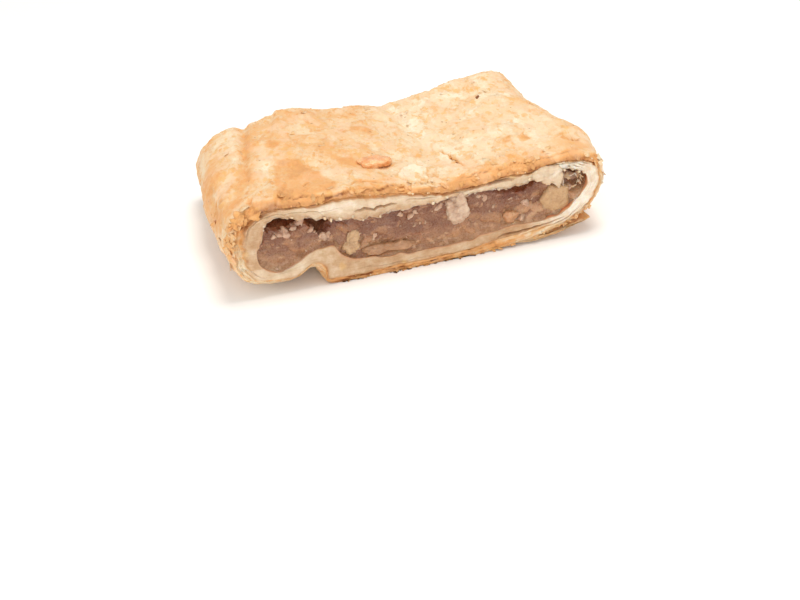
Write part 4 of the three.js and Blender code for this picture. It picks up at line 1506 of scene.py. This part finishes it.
@dataclass
class Crumbs:
    """Crumbs of dough and crust that cling to the cuts and lie on the top."""

    crust: CrustGrid
    bore: Array
    seed: int = 23
    hanging: int = 60
    strewn: tuple[int, int] = (20, 70)  # anywhere on the top, and near its cuts
    rim: int = 60
    speck: tuple[float, float, float] = (36.5, 16.5, 27.4)  # the dark one on the top

    def make(self, material: Material) -> bpy.types.Object:
        """Builds the piece.

        Args:
            material: The pastry's finish.

        Returns:
            The piece.
        """
        draw = np.random.default_rng(self.seed)
        roof = self.bore[(self.bore[:, 2] > 16) & (np.abs(self.bore[:, 0]) < 50)]
        pick = roof[draw.integers(0, len(roof), self.hanging)]
        out, drop = draw.uniform(0.1, 1.4, self.hanging), draw.uniform(-0.3, 0.6, self.hanging)
        hanging = pick + np.stack([0 * out, out, drop], -1)
        top = self.crust.points[self.crust.direction[..., 2] > 0.6]
        near = top[np.abs(top[:, 1]) > 33]
        strewn = [area[draw.integers(0, len(area), count)] for area, count in zip((top, near), self.strewn)]
        low = self.crust.points[0][self.crust.points[0, :, 2] < 12]
        rim = low[draw.integers(0, len(low), self.rim)] + np.array([0, 0.5, 0.3])
        place = np.concatenate([hanging, *strewn, rim, [self.speck]])
        counts = (self.hanging, sum(self.strewn), self.rim)
        spans = ((0.2, 0.6), (0.1, 0.3), (0.12, 0.4))
        size = [draw.uniform(*span, count) for span, count in zip(spans, counts)]
        radius = np.append(np.concatenate(size), 1.3)[:, None] * draw.uniform(0.6, 1.1, (len(place), 3))
        shape = grains(place, radius, draw)
        shape.points[:, 2] = np.maximum(shape.points[:, 2], 0.05)
        brown = [draw.uniform(*span, count) for span, count in zip(((0.3, 0.65), (0.4, 0.7)), counts[1:])]
        brown = np.concatenate([np.full(self.hanging, 0.3), *brown, [1.1]])
        soft = draw.uniform(0.5, 1.0, self.hanging)
        dough = [soft, np.zeros(counts[1]), draw.random(self.rim) < 0.2, [0.0]]
        shape.values = pastry_values(per_copy(brown, shape), per_copy(np.concatenate(dough), shape))
        return shape.build("pastry_crumbs", material, Slot.CRUST)


# ---- Filling -----------------------------------------------------------------------------------------
@dataclass(frozen=True)
class AirGap:
    """Air between filling and roof: middle along X, half width, height, mouth and reach along Y."""

    x: float
    half: float
    drop: float
    mouth: float
    reach: float


AIR_GAPS = (
    AirGap(-42.5, 6.0, 4.4, -HALF, 22),
    AirGap(-32, 3.0, 6.2, -HALF, 18),
    AirGap(30, 9, 1.8, -HALF, 12),
    AirGap(46, 3.5, 3.0, -HALF, 9),
    AirGap(24, 10, 2.6, HALF, 14),
    AirGap(-30, 7, 2.2, HALF, 12),
)


@dataclass(frozen=True)
class Lump:
    """A piece of cut fruit: middle, sizes, turn about Y, finish, seed of its facets and how crisp they are."""

    name: str
    at: tuple[float, float, float]
    size: tuple[float, float, float]
    turn: float
    flesh: Flesh
    seed: int
    sharpness: float = 11.0
    uneven: float = 0.04
    slot: Slot = Slot.APPLE

    def make(self, material: Material) -> bpy.types.Object:
        """Builds the piece.

        Args:
            material: The fruit's finish.

        Returns:
            The piece.
        """
        points, quads = ball(56, 92)
        radius = chunk(points, self.seed, sharpness=self.sharpness)
        shaped = points * radius[:, None]
        low, high = shaped.min(axis=0), shaped.max(axis=0)
        shaped = (shaped - 0.5 * (low + high)) / (high - low) * np.asarray(self.size)
        x, y, z = (shaped + np.asarray(self.at)).T
        swell = 1 + self.uneven * noise(x, y, z, 2.0) + 0.5 * self.uneven * fractal(x, y, z, 0.7)
        c, s = math.cos(self.turn), math.sin(self.turn)
        shaped = shaped * swell[:, None] @ np.array([[c, 0, -s], [0, 1, 0], [s, 0, c]])
        whole = Shape(shaped + np.asarray(self.at), quads)
        return whole.build(self.name + "_fruit", material, self.slot, self.name)


FRUIT = (
    Lump("apple_dice_right", (41.8, -34.2, 12.5), (10.2, 7, 9.6), 0.3, Flesh.APPLE, 4, 9.0, 0.12),
    Lump("apple_dice_pale", (9.9, -35.6, 15.9), (6.2, 5.4, 8.2), -0.3, Flesh.PALE, 7, 4.5, 0.42),
    Lump("apple_dice_low", (-22.8, -35.0, 11.0), (5.8, 4.6, 7.4), -0.5, Flesh.SOFT, 9, 4.0, 0.5),
    Lump("apple_dice_amber", (26.4, -35.3, 9.9), (5.8, 4.6, 4.4), 0.1, Flesh.AMBER, 12, 4.5, 0.3),
    Lump("apple_slab", (-9.6, -34.8, 7.9), (17, 5.6, 3.4), 0.07, Flesh.SLAB, 15, 4.0, 0.4),
    Lump("apple_dice_back_1", (33, 35.2, 13.4), (8.4, 6, 7.4), -0.3, Flesh.APPLE, 18, 7.0, 0.14),
    Lump("apple_dice_back_2", (-17, 35.3, 12.6), (6.4, 5, 6), 0.4, Flesh.AMBER, 21, 6.0, 0.2),
    Lump("apple_dice_back_3", (-40, 35.4, 12.4), (5, 4.6, 5.6), 0.2, Flesh.SOFT, 24, 5.0, 0.3),
    Lump("apple_dice_back_4", (9, 35.2, 9.2), (9, 5, 3.4), 0.12, Flesh.SLAB, 27, 4.0, 0.3),
    Lump("glazed_fruit_bit", (-9.3, -17.0, 26.4), (10.0, 7.0, 3.0), 0.05, Flesh.GLAZED, 33, 3.6, 0.2,
         Slot.GLAZED_FRUIT),
)

@dataclass
class Filling:
    """The apple mash that runs through the slice."""

    around: int = 700
    rows: int = 26
    rings: int = 40
    # half-sunk lumps: how many, longest half length, flatness, height and lightness
    lumps: tuple[tuple[int, float, float, float, float], ...] = (
        (70, 3.8, 0.5, 1.3, 0.45), (170, 1.9, 0.5, 0.7, 0.45), (160, 0.8, 0.65, 0.3, 0.55),
    )

    def rims(self) -> Array:
        """Rings along the filling, clear of the pastry and sunk under the air gaps.

        Returns:
            Rings from front to back.
        """
        y = stops(self.rows, 0.6)
        y[0], y[-1] = -HALF + 0.7, HALF - 0.7
        smooth = sections(BORE_FRONT, BORE_BACK, y, self.around // 2, self.around // 2)
        direction = outward(smooth)
        x = smooth[..., 0]
        room = 0.55 * ease(HALF - np.abs(y[:, None]), 1, 6) - 0.15
        rings = smooth + (bore_push(smooth, direction) - room)[..., None] * direction
        drop = np.zeros(x.shape)
        for gap in AIR_GAPS:
            fade = 1 - ease(np.abs(y[:, None] - gap.mouth), 0, gap.reach)
            uneven = 1 + 0.35 * fractal(rings[..., 0], y[:, None], 4, 2.2)
            drop += gap.drop * (bell(rings[..., 0] - gap.x, gap.half) * fade) * uneven
        rings[..., 2] -= drop * ease(direction[..., 2], 0.1, 0.7)
        under_roof = 1.2 + 0.5 * np.minimum(drop[[0, -1]], 3.0) + 0.5 * noise(x[[0, -1]], 3, 8, 2.0)
        under_roof = under_roof * ease(direction[[0, -1], :, 2], -0.2, 0.5)
        rings[0, :, 1] += under_roof[0]
        rings[-1, :, 1] -= under_roof[1]
        # the next rings keep 0.2 mm clear of the rim where it lies back, so that it never folds over them
        for row in range(1, 10):
            rings[row, :, 1] = np.maximum(rings[row, :, 1], rings[row - 1, :, 1] + 0.2)
            rings[-1 - row, :, 1] = np.minimum(rings[-1 - row, :, 1], rings[-row, :, 1] - 0.2)
        return rings

    def lumpy(self, x: Array, z: Array, seed: int) -> tuple[Array, Array]:
        """Relief of packed shreds and grains: the highest of many half-sunk ellipsoids.

        Args:
            x: Places along X.
            z: Places along Z.
            seed: Seed of the draw.

        Returns:
            Heights, and each place's own lightness from the piece that it belongs to.
        """
        draw = np.random.default_rng(seed)
        light = np.full(x.shape, 0.3)
        base = np.zeros(x.shape)
        for count, reach, flat, tall, own in self.lumps:
            height = np.zeros(x.shape)
            for _ in range(count):
                cx, cz = draw.uniform(-51, 52), draw.uniform(4, 25)
                long = draw.uniform(0.5, 1.0) * reach
                short = long * draw.uniform(0.7, 1.3) * flat
                turn, top, tone = draw.normal(0, 0.7), draw.uniform(0.3, 1.0) * tall, draw.normal(own, 0.06)
                near = (np.abs(x - cx) < long) & (np.abs(z - cz) < long)
                dx, dz = x[near] - cx, z[near] - cz
                u = (dx * math.cos(turn) + dz * math.sin(turn)) / long
                v = (-dx * math.sin(turn) + dz * math.cos(turn)) / short
                bump_ = top * np.sqrt(np.maximum(0, 1 - u * u - v * v))
                higher = bump_ > height[near]
                light[near] = np.where(higher & (bump_ > 0.25 * tall), tone, light[near])
                height[near] = np.where(higher, bump_, height[near])
            base += height
        return base, light

    def cut(self, rim: Array, side: Side) -> tuple[Array, Array]:
        """A cut face of the filling, from its rim to a line along its middle.

        Args:
            rim: The ring at the cut.
            side: Which cut it is.

        Returns:
            Rings and their lightness, which carries painted shade under the roof.
        """
        count = self.around
        opposite = rim[(count - np.arange(count)) % count]
        spine = 0.5 * (rim + opposite)
        spine[:, 0] *= 0.93
        share = ((np.arange(self.rings) + 1) / self.rings)[:, None, None] ** 0.9
        rings = (1 - share) * rim + share * spine
        x, z = rings[..., 0], rings[..., 2]
        height, light = self.lumpy(x, z, 5 + side)
        from_rim = np.linalg.norm((rings - rim)[..., [0, 2]], axis=-1)
        inner = ease(from_rim, -0.2, 1.6)
        start = HALF - np.abs(rim[None, :, 1])
        coarse = 0.9 * noise(x, side, z, 4.6) + 0.35 * noise(x, side, z, 2.0)
        relief = 0.7 * coarse + 0.5 * height + 0.1 * fractal(x, side, z, 0.8)
        depth = start + inner * (2.0 - start - relief)
        if side < 0:
            depth = depth + 2.4 * ease(x, 42.4, 44) * ease(z, 13.2, 15) * inner
        for lump in FRUIT:
            if lump.at[1] * side > 0 and lump.slot is Slot.APPLE:
                c, s = math.cos(lump.turn), math.sin(lump.turn)
                dx, dz = x - lump.at[0], z - lump.at[2]
                u, v = (dx * c + dz * s) / lump.size[0], (-dx * s + dz * c) / lump.size[2]
                socket = 1 - ease(np.maximum(np.abs(u), np.abs(v)), 0.42, 0.5)
                depth = depth + socket * np.maximum(0, 2.0 - depth)
        rings[..., 1] = side * (HALF - np.clip(depth, 0.1, 5))
        low = 1 - ease(z - np.minimum(rim[None, :, 2], opposite[None, :, 2]), 1.0, 8.0)
        # painted shade darkens the filling under the roof, most in the hollow near X 31; it is also a little
        # darker overall and near X -29
        roof = 1 - ease(np.maximum(rim[None, :, 2], opposite[None, :, 2]) - z, 0.0, 5.0)
        dimmer_with_painted_shade = 0.08 + 0.14 * bell(x + 29, 7) + 0.3 * bell(x - 31, 8) * roof
        return rings, light + 0.32 * low - 0.1 * roof - dimmer_with_painted_shade

    def make(self, material: Material) -> tuple[bpy.types.Object, Array]:
        """Builds the piece.

        Args:
            material: The filling's finish.

        Returns:
            The piece and the points of its front face.
        """
        rims = self.rims()
        front, front_light = self.cut(rims[0], Side.FRONT)
        back, back_light = self.cut(rims[-1], Side.BACK)
        rings = np.concatenate([front[::-1], rims, back])
        body_light = 0.26 + 0.16 * noise(rims[..., 0], rims[..., 1], rims[..., 2], 3.0)
        tint = np.concatenate([front_light[::-1], body_light, back_light])
        quads = ring_quads(len(rings), self.around, False)
        whole = Shape(rings.reshape(-1, 3), quads, {"tint": tint.reshape(-1)})
        return whole.build("filling_mash", material, Slot.FILLING, "filling"), front.reshape(-1, 3)


# X, Z, half width and half height of the pale bits that show in the front of the filling
PALE_BITS = (
    (-7.2, 18.0, 1.0, 0.7), (-4.4, 16.6, 1.2, 0.9), (-2.6, 17.6, 0.9, 0.6), (-20.6, 13.6, 0.8, 1.4),
    (-16, 12, 0.8, 0.9), (-1.5, 13.2, 0.5, 0.5), (-3.2, 12.6, 0.4, 0.4), (0.4, 13.4, 0.4, 0.4),
    (4.5, 17.6, 1.0, 0.7), (18.5, 17.6, 0.7, 0.9), (17, 18.6, 0.5, 0.5), (31.4, 13.8, 1.5, 1.0),
    (30.3, 8.9, 0.9, 1.6), (27, 15.6, 0.4, 0.4), (43.9, 19.6, 1.3, 0.8), (48.6, 17.4, 0.9, 1.0),
    (46.3, 16.0, 1.2, 0.9), (45.6, 20.4, 0.7, 0.5), (-43.4, 18.8, 1.3, 1.0), (-41.6, 18.6, 1.3, 1.3),
    (-31, 15.0, 1.3, 0.9), (-39.4, 19.6, 1.2, 0.7), (13.4, 12.6, 0.8, 0.6), (21.5, 14.2, 0.6, 0.5),
    (-37.2, 20.4, 1.1, 0.9), (-34.2, 18.2, 1.0, 0.8), (-29.4, 15.6, 1.0, 0.9), (-45.2, 17.8, 0.8, 0.7),
)


@dataclass
class PaleBits:
    """Nut-like pale bits and grains in the faces of the filling."""

    face: Array
    seed: int = 31
    loose: int = 24  # small grains in the front face
    behind: int = 12  # as many of them again in the back face

    def make(self, material: Material) -> bpy.types.Object:
        """Builds the piece.

        Args:
            material: Their finish.

        Returns:
            The piece.
        """
        draw = np.random.default_rng(self.seed)
        x, z, half_x, half_z = np.array(PALE_BITS).T
        gap = (x[:, None] - self.face[None, :, 0]) ** 2 + (z[:, None] - self.face[None, :, 2]) ** 2
        named = np.stack([x, self.face[np.argmin(gap, axis=1), 1] + 0.3, z], -1)
        small = self.face[draw.integers(0, len(self.face), self.loose)]
        place = np.concatenate([named, small, small[: self.behind] * [1, -1, 1]])
        wide = np.stack([half_x, 0.8 * np.minimum(half_x, half_z), half_z], -1)
        grains_ = self.loose + self.behind
        tiny = draw.uniform(0.12, 0.4, (grains_, 1)) * draw.uniform(0.6, 1.1, (grains_, 3))
        bits = grains(place, np.concatenate([1.15 * wide, tiny]), draw, 17, 28)
        x, y, z = bits.points.T
        rough = np.stack([fractal(x, y, z + 20 * axis, 1.1) for axis in range(3)], -1)
        uneven = 0.6 * per_copy(np.append(np.ones(len(wide)), np.full(grains_, 0.2)), bits)
        bits.points += uneven[:, None] * rough
        return bits.build("filling_pale_bits", material, Slot.FILLING)


# ---- Studio ------------------------------------------------------------------------------------------
@dataclass(frozen=True)
class Studio:
    """Pale floor, soft light and the camera."""

    eye: tuple[float, float, float] = (-92.30, -339.42, 172.04)
    azimuth: float = -15.308
    elevation: float = 30.215
    roll: float = -4.027
    lens: float = 54.0

    def floor(self) -> None:
        """Makes the pale floor."""
        nodes = Nodes("pale_floor")
        colour = nodes.laid("#fbfaf8", (nodes.grain(40.0, 2.0), "#f8f7f5"))
        corners = [(x, y, -0.0001) for x, y in ((-3, -3), (3, -3), (3, 3), (-3, 3))]
        mesh = bpy.data.meshes.new("floor")
        mesh.from_pydata(corners, [], [(0, 1, 2, 3)])
        mesh.materials.append(nodes.finish(colour, (), Roughness=0.9, Specular_IOR_Level=0.1))
        plane = bpy.data.objects.new("floor", mesh)
        bpy.context.scene.collection.objects.link(plane)

    def light(
        self, name: str, place: tuple[float, float, float], size: float, power: float, colour: str
    ) -> None:
        """Makes a soft area light that faces the slice.

        Args:
            name: The light's name.
            place: Its middle, in metres.
            size: Its side, in metres.
            power: Its power in watts.
            colour: Its hex colour.
        """
        lamp = bpy.data.lights.new(name, "AREA")
        lamp.size = size
        lamp.energy = power
        lamp.color = linear(colour)[:3]
        item = bpy.data.objects.new(name, lamp)
        item.location = place
        item.rotation_euler = (Vector((0, 0, 0.012)) - Vector(place)).to_track_quat("-Z", "Y").to_euler()
        bpy.context.scene.collection.objects.link(item)

    def camera(self) -> None:
        """Makes the camera from its azimuth, elevation and roll."""
        turn, tilt, roll = (math.radians(angle) for angle in (self.azimuth, self.elevation, self.roll))
        back = Vector((math.sin(turn) * math.cos(tilt), -math.cos(turn) * math.cos(tilt), math.sin(tilt)))
        right = (-back).cross(Vector((0, 0, 1))).normalized()
        up = right.cross(-back)
        across = math.cos(roll) * right + math.sin(roll) * up
        upright = -math.sin(roll) * right + math.cos(roll) * up
        lens = bpy.data.cameras.new("camera")
        lens.lens = self.lens
        lens.sensor_width = 36.0
        lens.clip_start = 0.01
        item = bpy.data.objects.new("camera", lens)
        matrix = Matrix((across, upright, back)).transposed().to_4x4()
        matrix.translation = Vector(self.eye) * MM
        item.matrix_world = matrix
        bpy.context.scene.collection.objects.link(item)
        bpy.context.scene.camera = item

    def make(self) -> None:
        """Builds the whole studio."""
        world = bpy.data.worlds.new("studio")
        bpy.context.scene.world = world
        world.use_nodes = True
        world.node_tree.nodes["Background"].inputs[0].default_value = linear("#ffffff")
        world.node_tree.nodes["Background"].inputs[1].default_value = 0.7
        self.floor()
        self.light("key", (0.12, 0.0, 0.75), 0.3, 3.0, "#fffaf2")
        self.light("front_fill", (-0.1, -0.85, 0.26), 0.6, 2.1, "#ffffff")
        self.light("left_fill", (-0.7, -0.2, 0.24), 0.5, 1.2, "#ffffff")
        self.camera()
        bpy.context.scene.view_settings.view_transform = "Standard"


def report(piece: bpy.types.Object) -> None:
    """Logs a finished piece."""
    LOG.info("%s: %d faces", piece.name, len(piece.data.polygons))


def main() -> None:
    """Builds the slice and its studio, in order."""
    logging.basicConfig(level=logging.INFO, format="%(name)s %(message)s")
    pastry = PastryFinish().make()
    wrap = PastryWrap()
    crust, bore = wrap.crust(), wrap.bore()
    report(wrap.make(crust, bore, pastry))
    report(LooseFlakes(crust).make(pastry))
    report(Crumbs(crust, bore[-1]).make(pastry))
    mash, face = Filling().make(MashFinish().make())
    report(mash)
    report(PaleBits(face).make(Flesh.NUT_BITS.value.make()))
    finishes = {flesh: flesh.value.make() for flesh in Flesh if flesh is not Flesh.NUT_BITS}
    for lump in FRUIT:
        report(lump.make(finishes[lump.flesh]))
    Studio().make()


if __name__ == "__main__":
    main()
